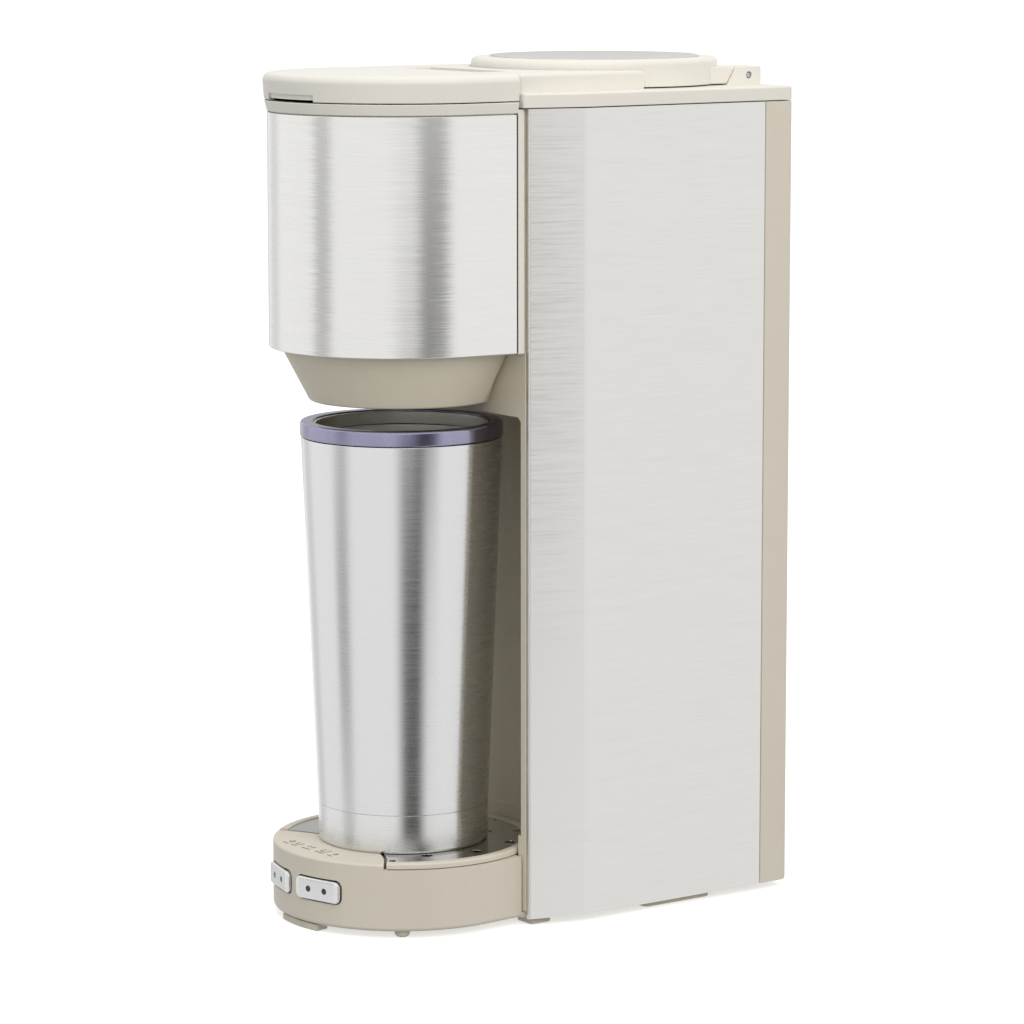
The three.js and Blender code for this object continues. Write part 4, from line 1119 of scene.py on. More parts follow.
@dataclass
class BrewLid:
    """The lid over the brew head, with its finger notch, hinge web and spray head."""

    shop: Workshop
    axis_y: float = AXIS_Y
    edge: float = 3.0
    back_y: float = -2.9
    wall: float = 2.6
    notch_angle: float = 17.0
    notch_depth: float = 0.6
    notch_top: float = 313.1
    slot: float = 0.75
    inset: float = 1.45
    lean: float = 0.5
    basket_y: float = BASKET_Y

    def _lid(self) -> None:
        """Moulds the lid with a rounded rim and a finger notch in its lower front edge."""
        shop = self.shop
        r, top = shop.frame.high("brew_lid").x - self.inset, shop.frame.high("brew_lid").z
        bottom = shop.frame.low("top_deck").z + 2.55
        rise = top - self.edge - bottom

        def outline(depth: float) -> list[Point2]:
            """Insets the round front and straight sides, and leaves the back edge alone."""
            return round_front(self.axis_y, r - depth, r - depth, self.back_y)

        levels = [(depth + self.lean * max(0.0, 1 - (z - bottom) / rise), z)
                  for depth, z in soft_levels(bottom, top, 0.35, self.edge, 9)]
        lid = shop.stack(outline, levels)
        r -= self.lean
        inner = round_front(self.axis_y, r - 2.2, r - 2.2, self.back_y - 2.2)
        lid.cut(shop.prism(inner, [(0, bottom - 1), (0, top - self.wall)]))
        sweep = arc(0, self.axis_y, 60, -90 - self.notch_angle, -90 + self.notch_angle, 24)
        inside = arc(0, self.axis_y, r - self.notch_depth, -90 + self.notch_angle, -90 - self.notch_angle, 24)
        lid.cut(shop.prism([*sweep, *inside], [(0, bottom - 1), (0, self.notch_top)]))
        inside = arc(0, self.axis_y, r - 6, -90 + self.notch_angle, -90 - self.notch_angle, 24)
        lid.cut(shop.prism([*sweep, *inside], [(0, bottom - 1), (0, bottom + self.slot)]))
        pin = shop.frame.middle("brew_hinge_pin")
        web = shop.box(-24.5, 24.5, self.back_y - 2.2, pin.y, pin.z - 1.6, top - 0.5)
        lid.join(web, shop.rod_x(pin.y, pin.z, 2.2, -24.5, 24.5))
        lid.cut(shop.rod_x(pin.y, pin.z, PIN_BORE_R, -26, 26))
        lid.soften(0.22, 2, 55)
        lid.piece("brew_lid_moulding", CREAM_ABS, "brew_lid", "brew_lid")

    def _spray_head(self) -> None:
        """Moulds the spray head under the lid, with two rings of outlets."""
        shop, y = self.shop, self.basket_y
        roof = shop.frame.high("spray_head").z
        profile = soft_profile([(0, 297, 0), (18, 297, 0.6), (19.5, 298.5, 0.6), (19.5, 302, 0.8), (6, 303, 0.6),
                                (6, roof, 0), (0, roof, 0)])
        head = shop.turned(profile, y, 64)
        head.join(shop.box(-4, 4, y, -8, 304.5, 311), shop.box(-4, 4, y, -18, 300, 311))
        drill, front = ring_of_holes(), shop.frame.front_y
        for ring in (7, 13):
            head.grow(drill, Centre_X=0.0, Centre_Y=(y + front) * MM, Level=297 * MM, Ring_radius=ring * MM,
                      Hole_radius=0.9 * MM, First_angle=math.radians(ring * 4), Step=math.radians(60), Count=6,
                      Material=CLEAR_SILICONE.material())
        head.soften(0.2)
        head.piece("spray_head_moulding", CLEAR_SILICONE, "brew_lid", "spray_head")

    def build(self) -> None:
        """Builds the lid and its spray head."""
        self._lid()
        self._spray_head()


@dataclass
class TankLid:
    """The round cap over the water tank, with its steel inlay and hinge tongue."""

    shop: Workshop
    deck: TopDeck
    edge: float = 2.4
    back: float = 111.5
    wall: float = 2.2
    inlay_r: float = 40.0

    def build(self) -> None:
        """Builds the cap and its inlay."""
        shop, deck = self.shop, self.deck
        y, r = deck.tank_y, deck.tank_r
        bottom, top = deck.flange_top + 0.5, shop.frame.high("tank_lid_inlay").z - 0.6
        seat = self.inlay_r + 0.4
        profile = soft_profile([
            (0, bottom, 0), (r, bottom, 0.3), (r, top, self.edge), (seat, top, 0.25), (seat, top - 0.7, 0),
            (0, top - 0.7, 0),
        ], 8)
        cap = shop.turned(profile, y)
        cap.join(shop.box(-deck.lug_half, deck.lug_half, 92, 109, bottom, deck.platform_top).soften(0.6, 3))
        behind = [*deck.slope(0), (140, 330), (140, deck.flange_top - 2)]
        sides = [shop.prism_x(behind, *sorted((sign * 25.6, sign * WIDE))) for sign in (1, -1)]
        cap.cut(shop.box(-WIDE, WIDE, self.back, 140, 0, 400), *sides)
        hollow = shop.rod(0, y, r - self.wall, bottom - 1, top - 3, ROUND_STEPS)
        cap.cut(hollow.keep(shop.box(-WIDE, WIDE, 0, self.back - self.wall, 0, 400)))
        pin = shop.frame.middle("tank_hinge_pin")
        cap.join(shop.box(-25.2, 25.2, self.back - self.wall, pin.y, pin.z - 2.4, pin.z + 2.8),
                 shop.rod_x(pin.y, pin.z, 3.1, -25.2, 25.2))
        cap.cut(shop.rod_x(pin.y, pin.z, PIN_BORE_R, -26, 26))
        cap.soften(0.3, 2, 55)
        cap.piece("tank_lid_moulding", CREAM_ABS, "tank_lid", "tank_lid")
        low, high, inlay_r = top - 0.4, top + 0.6, self.inlay_r
        disc = soft_profile([(0, low, 0), (inlay_r, low, 0), (inlay_r, high, 0.35), (0, high, 0)])
        shop.turned(disc, y).piece("tank_lid_steel_disc", INLAY_STEEL, "tank_lid", "tank_lid_inlay")


# ---- Brew head -----------------------------------------------------------------------------------------------------
@dataclass
class BrewHead:
    """The round brew head: its shell, steel wrap, funnel, filter basket and mesh filter."""

    shop: Workshop
    axis_y: float = AXIS_Y
    r: float = 49.8
    flare: float = 1.6
    spread: float = 1.0
    collar_top: float = 307.4
    wrap: float = 0.8
    gap: float = 0.35
    wall: float = 2.2
    basket_y: float = BASKET_Y

    def _shell(self) -> None:
        """Moulds the head's shell, with a rim above the wrap and a collar against the tower."""
        shop, recess = self.shop, self.wrap + self.gap
        low, high = shop.frame.low("brew_head_shell").z, shop.frame.high("brew_head_shell").z
        rim_low = shop.frame.high("head_steel_wrap").z + self.gap
        front, back = -3.8, -0.4
        r = self.r - recess
        shell = shop.prism(round_front(self.axis_y, r, r + self.flare, front), [(0, low), (0, rim_low + 0.2)])
        rim = shop.stack(lambda d: round_front(self.axis_y, self.r - d, self.r + self.flare - 0.2 - d, front),
                         [(d - self.spread * (z - rim_low) / (high - rim_low), z)
                          for d, z in soft_levels(rim_low, high, 0.35, 0.4, 4)])
        collar = [(x, y - 2.1) for x, y in rounded_rectangle(102.4, back - front, 0.7, 5)]
        shell.join(rim, shop.prism(collar, soft_levels(low, self.collar_top, 0.3, 0, 3)))
        cavity = round_front(self.axis_y, r - self.wall, r - self.wall + 0.6, -6)
        grooves = [
            shop.box(*sorted((s * 49.0, s * 60)), front - 0.75, front + 0.25, low - 1, rim_low - 0.6) for s in (1, -1)
        ]
        shell.cut(shop.prism(cavity, [(0, low + self.wall), (0, 320)]), shop.rod(0, self.basket_y, 24.3, 210, 230, 64),
                  shop.rod_y(0, 296, 4, -7, 1), *grooves)
        shell.piece("brew_head_moulding", CREAM_ABS, "machine", "brew_head_shell")

    def _wrap(self) -> None:
        """Rolls the brushed steel wrap, with its edges turned in."""
        shop = self.shop
        low, high = shop.frame.low("head_steel_wrap").z, shop.frame.high("head_steel_wrap").z
        t, back = self.wrap, -4.5
        outer = self.r + self.flare
        sheet = shop.stack(lambda d: round_front(self.axis_y, self.r - d, outer - d, back),
                           soft_levels(low, high, 0.3, 0.3, 4))
        sheet.cut(shop.prism(round_front(self.axis_y, self.r - t, outer - t, back + 1), [(0, low - 1), (0, high + 1)]))
        sheet.piece("head_wrap_sheet", HEAD_STEEL, "machine", "head_steel_wrap")
        # Dark strips in the grooves behind the wrap's back edges: painted shade of the gap between the head and the
        # tower front.
        strip = [(x + 50.1, y - 4.0) for x, y in rounded_rectangle(1.9, 0.86, 0.25, 4)]
        gap_shade = shop.prism(strip, [(0, low + 0.4), (0, self.collar_top - 0.2)])
        gap_shade.grow(left_and_right(), Material=PAINTED_GAP_SHADE.material())
        gap_shade.piece("head_painted_gap_shade_strips", PAINTED_GAP_SHADE, "machine")

    def _funnel(self) -> None:
        """Moulds the drip funnel under the head."""
        shop = self.shop
        low, high = shop.frame.low("brew_funnel").z, shop.frame.high("brew_funnel").z
        wide, narrow, wall = 45.0, 34.7, self.wall
        cone = shop.turned(soft_profile([(0, low, 0), (narrow, low, 1.4), (wide, high, 0), (0, high, 0)], 6),
                           self.axis_y, limit_y=-self.gap)
        hollow = shop.turned([(0, low + wall), (narrow - wall, low + wall), (wide - wall, high + 1), (0, high + 1)],
                             self.axis_y, limit_y=-self.gap - wall)
        cone.cut(hollow, shop.rod(0, self.basket_y, 5, 190, 205))
        cone.soften(0.25, 2, 60)
        cone.piece("brew_funnel_moulding", CREAM_INNER, "machine", "brew_funnel")

    def _filter(self) -> None:
        """Moulds the filter basket and presses the mesh filter that stands in it."""
        shop = self.shop
        seat = shop.frame.low("brew_head_shell").z + self.wall + self.gap
        basket = soft_profile([
            (1.8, 199.8, 0.2), (3.2, 199.8, 0.4), (3.2, 207, 0.8), (20, 210.5, 1.5), (23.6, seat, 0.5),
            (27.6, seat, 0.8), (28.2, 287, 0), (28.6, 287, 0.2), (28.6, 289, 0.4), (26.4, 289, 0.4), (25.8, 222, 3),
            (20, 213.5, 1.5), (1.8, 210, 0.3),
        ])
        shop.turned(basket, self.basket_y, 96).piece(
            "filter_basket_moulding", CHARCOAL_NYLON, "machine", "filter_basket")
        cup = soft_profile([
            (0, 216, 0), (17, 216, 2.5), (24.4, 224, 2.5), (25.8, 289.4, 0.3), (28.4, 289.4, 0.2), (28.4, 290.2, 0.3),
            (25, 290.2, 0.5), (23.6, 224.6, 2.5), (16.6, 217, 2), (0, 217, 0),
        ])
        shop.turned(cup, self.basket_y, 96).piece(
            "mesh_filter_cup", FILTER_MESH, "machine", "mesh_filter")

    def build(self) -> None:
        """Builds every piece of the head."""
        self._shell()
        self._wrap()
        self._funnel()
        self._filter()


# ---- Base ----------------------------------------------------------------------------------------------------------
@dataclass
class Base:
    """The round base: its housing with the button deck, drip tray and plate, and push buttons."""

    shop: Workshop
    axis_y: float = AXIS_Y
    r: float = 50.0
    side: float = 48.6
    ring_seam: float = 26.3
    split: float = 1.1
    deck: float = 28.4
    bay_floor: float = 12.2
    wall: float = 2.6
    tray_r: float = 49.5
    plate_r: float = 45.5
    lens_y: float = -99.0
    lens_r: float = 57.0
    button_angle: float = 15.0
    button_w: float = 22.2
    button_h: float = 8.4
    button_z: float = 16.4
    button_r: float = 51.4
    button_corner: float = 2.4
    button_gap: float = 0.5
    window_offset: float = 4.0
    window_r: float = 1.2
    marks_y: float = -59.5

    def _lens(self, extra: float, z0: float, z1: float) -> Blank:
        """Makes the round body whose edge parts the button deck from the drip plate."""
        return self.shop.rod(0, self.lens_y, self.lens_r + extra, z0, z1, 2 * ROUND_STEPS)

    def _facing(self, side: int, u: float, radius: float, z: float) -> Point3:
        """Returns a point on the round front, from its distance along the face beside a button's middle."""
        angle = math.radians(side * self.button_angle - 90) + u / self.button_r
        return (radius * math.cos(angle), self.axis_y + radius * math.sin(angle), z)

    def _lift_slot(self) -> Blank:
        """Makes the slot for lifting the plate, as a cutting body."""
        near, far = arc(0, self.axis_y, 45.3, -41.5, -38.5, 4), arc(0, self.axis_y, 41.0, -38.5, -41.5, 4)
        return self.shop.prism([*near, *far], [(0, self.deck - 6), (0, 40)])

    def _housing(self) -> None:
        """Moulds the housing, with the button deck in one piece with its front wall."""
        shop, r, side = self.shop, self.r, self.side
        low = shop.frame.low("base_housing").z

        def outline(depth: float) -> list[Point2]:
            """Insets the round front and sides, and leaves the back edge alone."""
            return round_front(self.axis_y, r - depth, side - depth, -0.4)

        body = shop.stack(outline, soft_levels(low, self.deck, 1.6, 0.9))
        above = shop.box(-WIDE, WIDE, -120, 20, self.ring_seam, 60).cut(self._lens(0, 0, 80))
        well = shop.rod(0, self.axis_y, self.tray_r - 2.2, self.bay_floor, 40, ROUND_STEPS).cut(self._lens(0, 0, 60))
        under = shop.prism(outline(self.wall), [(0, low - 1), (0, self.bay_floor - 2.2)])
        holes = [self._button_hole(s) for s in (-1, 1)]
        body.cut(above, well, under, *holes)
        body.soften(0.3, 2, 50)
        # The warmer cream: its darker tone is partly painted shade.
        body.piece("base_housing_moulding", CREAM_WARM_SHADED, "machine", "base_housing")

    def _button_hole(self, side: int) -> Blank:
        """Makes the opening round a button, as a cutting body.

        Args:
            side: -1 for the left button and 1 for the right one.

        Returns:
            The cutting body.
        """
        margin = self.button_gap
        outline = rounded_rectangle(self.button_w + 2 * margin, self.button_h + 2 * margin, self.button_corner + margin)
        rings = [[self._facing(side, u, radius, z + self.button_z) for u, z in outline] for radius in (47.2, 56)]
        return Blank(rings, self.shop.frame)

    def _tray(self) -> None:
        """Moulds the drip tray, whose ring lies on the housing."""
        shop, r, p = self.shop, self.tray_r, self.plate_r
        low, top = shop.frame.low("drip_tray").z, shop.frame.high("drip_tray").z
        floor, ring = self.deck - 1.3, self.ring_seam + 0.3
        profile = soft_profile([
            (0, low, 0), (r - 2.6, low, 1.2), (r - 2.6, ring, 0), (r, ring, 0.3), (r, top, 1.0), (p + 0.4, top, 0.6),
            (p + 0.4, floor, 0), (0, floor, 0),
        ], 6)
        tray = shop.turned(profile, self.axis_y)
        basin = shop.rod(0, self.axis_y, p, low + 1.6, 25.6, ROUND_STEPS).cut(self._lens(2.3, 0, 60))
        mouth = shop.rod(0, self.axis_y, p - 1.6, 25, 40, ROUND_STEPS).cut(self._lens(3.7, 0, 60))
        tray.cut(self._lens(self.split, 0, 60), basin, mouth, self._lift_slot())
        tray.soften(0.25, 2, 60)
        # The warmer cream: its darker tone is partly painted shade.
        tray.piece("drip_tray_moulding", CREAM_WARM_SHADED, "drip_tray", "drip_tray")

    def _plate(self) -> None:
        """Stamps the drip plate, with its rings of drip holes and its lifting slot."""
        shop, top = self.shop, self.shop.frame.high("drip_plate").z
        plate = shop.rod(0, self.axis_y, self.plate_r, top - 0.6, top, ROUND_STEPS).cut(self._lens(1.2, 0, 60))
        drill, front = ring_of_holes(), shop.frame.front_y
        for ring, hole, first, step, count in ((38.4, 2.05, -30, 30, 9), (27.6, 1.0, -30, 30, 9), (15, 2.05, 0, 60, 6)):
            plate.grow(drill, Centre_X=0.0, Centre_Y=(-14 + front) * MM, Level=top * MM, Ring_radius=ring * MM,
                       Hole_radius=hole * MM, First_angle=math.radians(first), Step=math.radians(step), Count=count,
                       Material=MIRROR_STEEL.material())
        plate.cut(self._lift_slot())
        plate.soften(0.1, 2, 60)
        plate.piece("drip_plate_sheet", MIRROR_STEEL, "drip_tray", "drip_plate")

    def _button(self, side: int, name: str) -> None:
        """Forms one push button as a curved, rounded steel cap with two smoked windows.

        Args:
            side: -1 for the left button and 1 for the right one.
            name: left or right.
        """
        shop, edge, steps = self.shop, 0.9, 6
        levels = [(0.0, 2.6)]
        for i in range(steps + 1):
            angle = math.pi / 2 * i / steps
            levels.append((edge * (1 - math.cos(angle)), edge * (1 - math.sin(angle))))
        outline = rounded_rectangle(self.button_w, self.button_h, self.button_corner)
        quarter = len(outline) // 4
        outline = outline[quarter:] + outline[:quarter]
        rings = [
            [self._facing(side, u, self.button_r - depth, z + self.button_z) for u, z in inset(outline, margin)]
            for margin, depth in levels
        ]
        cap = Blank(rings, shop.frame, striped=True)
        stem = [self._facing(side, u, radius, self.button_z + z) for radius in (44.6, 49.6)
                for u, z in ((-2.5, -2), (2.5, -2), (2.5, 2), (-2.5, 2))]
        cap.join(Blank([stem[:4], stem[4:]], shop.frame))
        cap.cut(*self._discs(side, self.window_r, 50.3, 53))
        cap.piece(f"button_{name}_cap", BUTTON_STEEL, f"button_{name}", f"button_{name}")
        first, second = self._discs(side, self.window_r - 0.02, 50.25, 50.6)
        first.join(second).piece(f"button_{name}_windows", SMOKED_WINDOW, f"button_{name}",
                                 f"indicator_{name}_outer", f"indicator_{name}_inner")

    def _discs(self, side: int, r: float, inner: float, outer: float) -> list[Blank]:
        """Makes a short rod at each window of a button, between two distances from the base's axis.

        Args:
            side: -1 for the left button and 1 for the right one.
            r: Radius of the rods.
            inner: Distance of their inner ends from the base's axis.
            outer: Distance of their outer ends.

        Returns:
            The two rods.
        """
        circle = arc(0, 0, r, 0, 345, 23)
        return [
            Blank([[self._facing(side, s * self.window_offset + u, radius, self.button_z + z) for u, z in circle]
                   for radius in (inner, outer)], self.shop.frame)
            for s in (-1, 1)
        ]

    def _marks(self) -> None:
        """Prints a row of small cup and drop marks on the button deck."""
        lines: list[list[Point2]] = []
        cup = [(-1.6, 1.3), (-1.2, -1.3), (1.2, -1.3), (1.6, 1.3)]
        drop = [(0, 1.6), (-0.9, 0.1), (-0.6, -0.9), (0.6, -0.9), (0.9, 0.1), (0, 1.6)]
        steam = [(-0.7, 0.9), (-0.3, 0.1), (-0.7, -0.6), (-0.3, -1.3)]
        for x, y, shape, size in (
            (-16.5, -1.6, drop, 1.0), (-11.5, -1.4, cup, 0.9), (-5.0, -0.6, steam, 1.0), (-2.4, -0.6, steam, 1.0),
            (4.5, -0.2, cup, 1.2), (11.5, -0.4, drop, 0.8),
        ):
            lines.append([(x + px * size, self.marks_y + y + py * size) for px, py in shape])
        for x0, x1, y in (
            (-18.2, -14.6, -4.6), (-13.2, -9.4, -4.4), (-6.4, -1.0, -3.9), (2.2, 7.4, -3.4), (10.0, 13.0, -3.2),
        ):
            lines.append([(x0, self.marks_y + y), (x1, self.marks_y + y)])
        frame = self.shop.frame
        points, edges = [], []
        for line in lines:
            start = len(points)
            points += [frame.metres((x, y, self.deck + 0.02)) for x, y in line]
            edges += [(start + i, start + i + 1) for i in range(len(line) - 1)]
        print_ = self.shop.box(0, 1, 0, 1, 0, 1)
        print_.obj.data = bpy.data.meshes.new("lines")
        print_.obj.data.from_pydata(points, edges, [])
        print_.grow(flat_ribbon(), Line_width=0.55 * MM, Thickness=0.06 * MM, Material=PAD_INK.material())
        print_.piece("deck_marks", PAD_INK, "machine")

    def build(self) -> None:
        """Builds every piece of the base."""
        self._housing()
        self._tray()
        self._plate()
        for side, name in ((-1, "left"), (1, "right")):
            self._button(side, name)
        self._marks()


# ---- Travel mug ----------------------------------------------------------------------------------------------------
@dataclass
class TravelMug:
    """The double-walled steel travel mug: tapered body, pressed foot, liner and violet collar."""

    shop: Workshop
    axis_y: float = AXIS_Y
    wall: float = 0.9
    seam_r: float = 32.6
    liner_top: float = 34.6
    liner_bottom: float = 27.6

    def build(self) -> None:
        """Turns the four pieces of the mug."""
        shop, t = self.shop, self.wall
        seam, top = shop.frame.low("mug_body").z, shop.frame.high("mug_body").z
        rim = shop.frame.high("mug_body").x
        wall = [(self.seam_r, seam, 0.15), (rim, top, 0.3), (rim - t, top, 0.2), (self.seam_r - t, seam, 0.2)]
        shop.turned(soft_profile(wall), self.axis_y, 192).piece(
            "mug_body_shell", MUG_STEEL, "travel_mug", "mug_body")
        z, r = shop.frame.low("mug_base").z - 0.2, self.seam_r
        foot = soft_profile([
            (0, z + 2, 0), (24, z + 2, 0.6), (26, z, 0.6), (r - 0.6, z, 0.4), (r - 0.15, z + 0.9, 0.5),
            (r, seam - 0.04, 0.15), (r - t, seam - 0.04, 0.15), (r - 1.4, z + 4, 1.0), (r - 3.4, z + 3.2, 0.5),
            (0, z + 3.2, 0),
        ])
        shop.turned(foot, self.axis_y, 192).piece("mug_foot", MUG_STEEL, "travel_mug", "mug_base")
        z0, z1 = shop.frame.low("mug_liner").z, shop.frame.high("mug_liner").z
        low_r, top_r = self.liner_bottom, self.liner_top
        liner = soft_profile([
            (0, z0, 0), (low_r, z0, 5), (top_r, z1, 0.2), (top_r - t, z1, 0.2), (low_r - t, z0 + t, 4.5),
            (0, z0 + t, 0),
        ], 8)
        shop.turned(liner, self.axis_y, 144).piece(
            "mug_liner_shell", LINER_STEEL, "travel_mug", "mug_liner")
        low, (out, _, high) = shop.frame.low("mug_collar").z, shop.frame.high("mug_collar")
        lip = out - 5
        ring = soft_profile([(lip, low, 0.2), (out, low, 0.4), (out, high, 1.0), (lip, high, 0.5)], 8)
        shop.turned(ring, self.axis_y, 192).piece("mug_collar_ring", VIOLET_STEEL, "travel_mug", "mug_collar")
        inner, outer, rise = lip - 1, lip - 0.05, high - 0.7
        lining = soft_profile([(inner, low, 0.2), (outer, low, 0.2), (outer, rise, 0.2), (inner, rise, 0.4)])
        shop.turned(lining, self.axis_y, 192).piece("mug_lip_lining", LINER_STEEL, "travel_mug")


# ---- Inside --------------------------------------------------------------------------------------------------------
@dataclass
class Works:
    """The pieces inside the tower, which keep their CAD shapes, and the cord gland at the back."""

    shop: Workshop
    nodes: dict[str, bpy.types.Object]
    finishes: dict[str, Finish] = field(default_factory=lambda: {
        "outlet_nozzle": CLEAR_SILICONE, "switch_left": CHARCOAL_NYLON, "switch_right": CHARCOAL_NYLON,
        "switch_board": BOARD, "power_board": BOARD, "water_tank": TANK_PLASTIC, "check_valve": CLEAR_SILICONE,
        "boiler_block": CAST_ALUMINIUM, "heating_element": ZINC, "inlet_hose": CLEAR_SILICONE,
        "riser_hose": CLEAR_SILICONE, "thermostat": CHARCOAL_NYLON, "thermal_fuse": CHARCOAL_NYLON,
    })

    def build(self) -> None:
        """Dresses the CAD pieces and makes the gland."""
        for name, finish in self.finishes.items():
            mesh = self.nodes[name].data
            mesh.materials.clear()
            mesh.materials.append(finish.material())
            LOG.info("%s: %s", name, finish.name)
        low, high = self.shop.frame.low("cord_gland"), self.shop.frame.high("cord_gland")
        middle = self.shop.frame.middle("cord_gland")
        profile = soft_profile([
            (4.6, low.y, 0.3), (4.6, high.y - 2.05, 0), (6.6, high.y - 2.05, 0.3), (6.6, high.y - 0.8, 0.8),
            (4.4, high.y, 0.6), (2.6, high.y, 0.5), (2.6, low.y, 0.2),
        ])
        rings = [[(x, y, z) for x, z in arc(middle.x, middle.z, r, 0, 351, 39)] for r, y in profile]
        Blank(rings, self.shop.frame, looped=True).piece(
            "cord_gland_moulding", CHARCOAL_NYLON, "machine", "cord_gland")


# ---- Studio --------------------------------------------------------------------------------------------------------
@dataclass
class Flag:
    """A dark card beside the set, which only shows as a soft dark band in polished surfaces.

    Attributes:
        azimuth: Direction from the mug's axis in degrees, anticlockwise from +X.
        distance: Distance from the mug's axis in millimetres.
        width: Width in millimetres, soft at both sides.
        low: Height of its lower edge.
        high: Height of its upper edge.
        depth: How dark its middle is, from 0 to 1.
        fade: Share of its height over which its top fades out.
    """

    azimuth: float
    distance: float
    width: float
    low: float
    high: float
    depth: float
    fade: float = 0.14


@dataclass
class Studio:
    """Camera, pale floor, soft lights and dark flags."""

    frame: Frame
    azimuth: float = 53.975
    elevation: float = 8.364
    roll: float = -0.048
    distance: float = 1568.2
    target: Point3 = (14.6, 20.0, 152.0)
    lens: float = 144.14
    flags: tuple[Flag, ...] = (
        Flag(-7, 420, 290, 95, 440, 1.0, 0.8),
        Flag(-102, 420, 190, 120, 440, 0.5, 0.6),
        Flag(-23.5, 420, 340, -260, 165, 1.0),
        Flag(-110, 420, 220, -50, 105, 0.7),
        Flag(-172, 420, 260, -260, 620, 0.25),
        Flag(144, 600, 800, 40, 520, 0.5),
    )

    def camera(self) -> None:
        """Places the camera."""
        az, el = math.radians(self.azimuth), math.radians(self.elevation)
        away = Vector((math.sin(az) * math.cos(el), -math.cos(az) * math.cos(el), math.sin(el)))
        target = self.frame.metres(self.target)
        data = bpy.data.cameras.new("camera")
        data.lens, data.sensor_width, data.clip_end = self.lens, 36, 200
        camera = bpy.data.objects.new("camera", data)
        bpy.context.scene.collection.objects.link(camera)
        camera.rotation_mode = "QUATERNION"
        camera.location = target + away * self.distance * MM
        turn = (-away).to_track_quat("-Z", "Y")
        camera.rotation_quaternion = turn @ Matrix.Rotation(math.radians(self.roll), 3, "Z").to_quaternion()
        bpy.context.scene.camera = camera

    def _sheet(self, name: str, corners: Sequence[Vector], material: bpy.types.Material) -> bpy.types.Object:
        """Makes a flat sheet that isn't part of the object.

        Args:
            name: Name of the sheet.
            corners: Its four corners, in metres.
            material: Its material.

        Returns:
            The sheet.
        """
        mesh = bpy.data.meshes.new(name)
        mesh.from_pydata([tuple(c) for c in corners], [], [tuple(range(len(corners)))])
        mesh.materials.append(material)
        mesh.uv_layers.new(name="card")
        for loop, uv in zip(mesh.uv_layers[0].data, ((0, 0), (1, 0), (1, 1), (0, 1))):
            loop.uv = uv
        sheet = bpy.data.objects.new(name, mesh)
        bpy.context.scene.collection.objects.link(sheet)
        return sheet

    def floor(self) -> None:
        """Lays a plain pale floor."""
        made = bpy.data.materials.new("pale_floor")
        made.use_nodes = True
        shader = made.node_tree.nodes["Principled BSDF"]
        shader.inputs["Base Color"].default_value = linear("#f4f3f0")
        shader.inputs["Roughness"].default_value = 0.9
        shader.inputs["Emission Color"].default_value = linear("#ffffff")
        shader.inputs["Emission Strength"].default_value = 0.5
        reach = 40
        corners = [Vector((x, y, 0)) for x, y in ((-reach, -reach), (reach, -reach), (reach, reach), (-reach, reach))]
        floor = self._sheet("floor", corners, made)
        floor.visible_glossy = floor.visible_diffuse = False

    def _flag(self, index: int, flag: Flag) -> None:
        """Stands one dark card beside the set.

        Args:
            index: Number of the card.
            flag: Its place, size and depth.
        """
        made = bpy.data.materials.new(f"flag_{index}")
        made.use_nodes = True
        tree = made.node_tree
        tree.nodes.clear()
        split = add_node(tree, "ShaderNodeSeparateXYZ", {0: add_node(tree, "ShaderNodeTexCoord", {}).outputs["UV"]})
        cover: Setting = flag.depth
        for axis, start, full in (("X", 0.0, 0.4), ("X", 1.0, 0.6), ("Y", 0.0, 0.1), ("Y", 1.0, 1.0 - flag.fade)):
            feeds = {0: split.outputs[axis], 1: start, 2: full, 3: 0.0, 4: 1.0}
            edge = add_node(tree, "ShaderNodeMapRange", feeds, interpolation_type="SMOOTHSTEP").outputs[0]
            cover = add_node(tree, "ShaderNodeMath", {0: edge, 1: cover}, operation="MULTIPLY").outputs[0]
        dark = add_node(tree, "ShaderNodeEmission", {"Color": linear("#4a4945"), "Strength": 0.5}).outputs[0]
        clear = add_node(tree, "ShaderNodeBsdfTransparent", {}).outputs[0]
        mix = add_node(tree, "ShaderNodeMixShader", {0: cover, 1: clear, 2: dark}).outputs[0]
        add_node(tree, "ShaderNodeOutputMaterial", {"Surface": mix})
        angle = math.radians(flag.azimuth)
        out, along = Vector((math.cos(angle), math.sin(angle), 0)), Vector((-math.sin(angle), math.cos(angle), 0))
        centre = self.frame.metres((0, AXIS_Y, 0)) + out * flag.distance * MM
        side, low, high = along * flag.width * MM / 2, Vector((0, 0, flag.low * MM)), Vector((0, 0, flag.high * MM))
        corners = [centre - side + low, centre + side + low, centre + side + high, centre - side + high]
        card = self._sheet(f"flag_{index}", corners, made)
        card.visible_camera = card.visible_diffuse = card.visible_shadow = False
        card.visible_transmission = card.visible_volume_scatter = False

    def _light(self, name: str, place: Point3, aim: Point3, size: Point2, watts: float, colour: str) -> None:
        """Hangs one soft box.

        Args:
            name: Name of the light.
            place: Where it hangs, in metres.
            aim: What it points at, in metres.
            size: Width and height in metres.
            watts: Power.
            colour: sRGB colour.
        """
        data = bpy.data.lights.new(name, "AREA")
        data.shape, data.size, data.size_y, data.energy = "RECTANGLE", size[0], size[1], watts
        data.color = linear(colour)[:3]
        lamp = bpy.data.objects.new(name, data)
        bpy.context.scene.collection.objects.link(lamp)
        lamp.location = place
        lamp.rotation_mode = "QUATERNION"
        lamp.rotation_quaternion = (Vector(aim) - Vector(place)).to_track_quat("-Z", "Y")
        lamp.visible_glossy = False

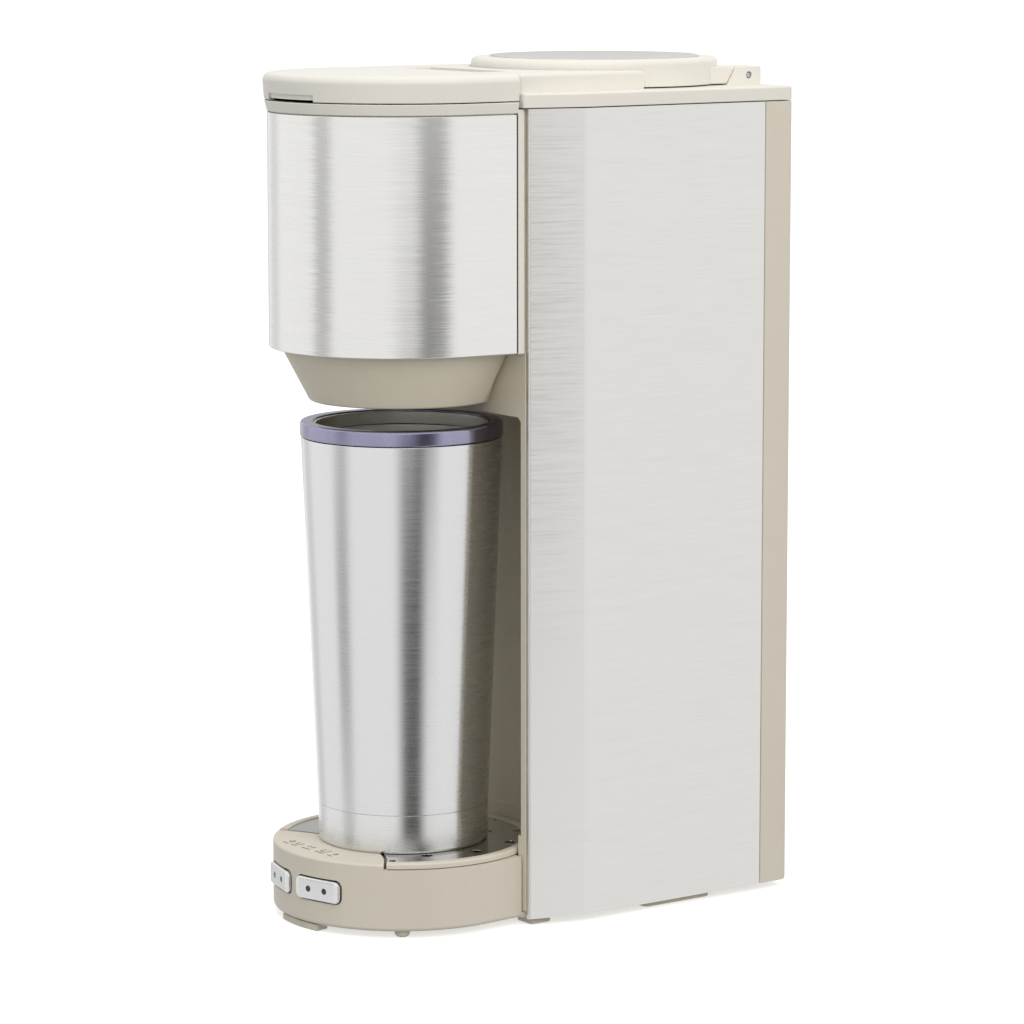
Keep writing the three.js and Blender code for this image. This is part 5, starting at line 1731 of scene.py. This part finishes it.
    def lights(self) -> None:
        """Hangs the soft boxes and sets the surroundings."""
        self._light("overhead", (0.1, -0.1, 1.6), (0, 0, 0.1), (1.6, 1.6), 6.5, "#ffffff")
        self._light("key_right", (1.5, -0.3, 1.0), (0, 0, 0.15), (1.0, 1.0), 11.5, "#fffdf8")
        self._light("fill_front", (-0.5, -1.8, 0.9), (0, 0, 0.15), (1.2, 1.0), 3, "#ffffff")
        world = bpy.data.worlds.new("studio")
        bpy.context.scene.world = world
        world.use_nodes = True
        tree = world.node_tree
        tree.nodes.clear()
        way = add_node(tree, "ShaderNodeTexCoord", {}).outputs["Generated"]
        height = add_node(tree, "ShaderNodeSeparateXYZ", {0: way}).outputs["Z"]
        bright = add_node(tree, "ShaderNodeMapRange", {0: height, 1: -0.28, 2: 0.0, 3: 0.96, 4: 1.18}).outputs[0]
        soft = add_node(tree, "ShaderNodeLightPath", {}).outputs["Is Diffuse Ray"]
        ambient = add_node(tree, "ShaderNodeMapRange", {0: height, 1: -1.0, 2: 1.0, 3: 0.3, 4: 0.66}).outputs[0]
        feeds = {0: soft, 2: bright, 3: ambient}
        level = add_node(tree, "ShaderNodeMix", feeds, data_type="FLOAT").outputs[0]
        back = add_node(tree, "ShaderNodeBackground", {"Color": linear("#ffffff"), "Strength": level})
        add_node(tree, "ShaderNodeOutputWorld", {"Surface": back.outputs[0]})
        bpy.context.scene.view_settings.view_transform = "Standard"

    def build(self) -> None:
        """Sets up the floor, the flags and the lights; the camera is placed before them."""
        self.floor()
        for index, flag in enumerate(self.flags):
            self._flag(index, flag)
        self.lights()


def main() -> None:
    """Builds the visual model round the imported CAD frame."""
    logging.basicConfig(level=logging.INFO, format="%(name)s %(message)s")
    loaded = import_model()
    frame = Frame()
    studio = Studio(frame)
    studio.camera()
    shop = Workshop(frame)
    tower = Tower(shop)
    deck = TopDeck(shop, tower)
    for assembly in (
        tower, deck, BrewLid(shop), TankLid(shop, deck), BrewHead(shop), Base(shop), TravelMug(shop),
        Works(shop, loaded["nodes"]),
    ):
        assembly.build()
    studio.build()


if __name__ == "__main__":
    main()
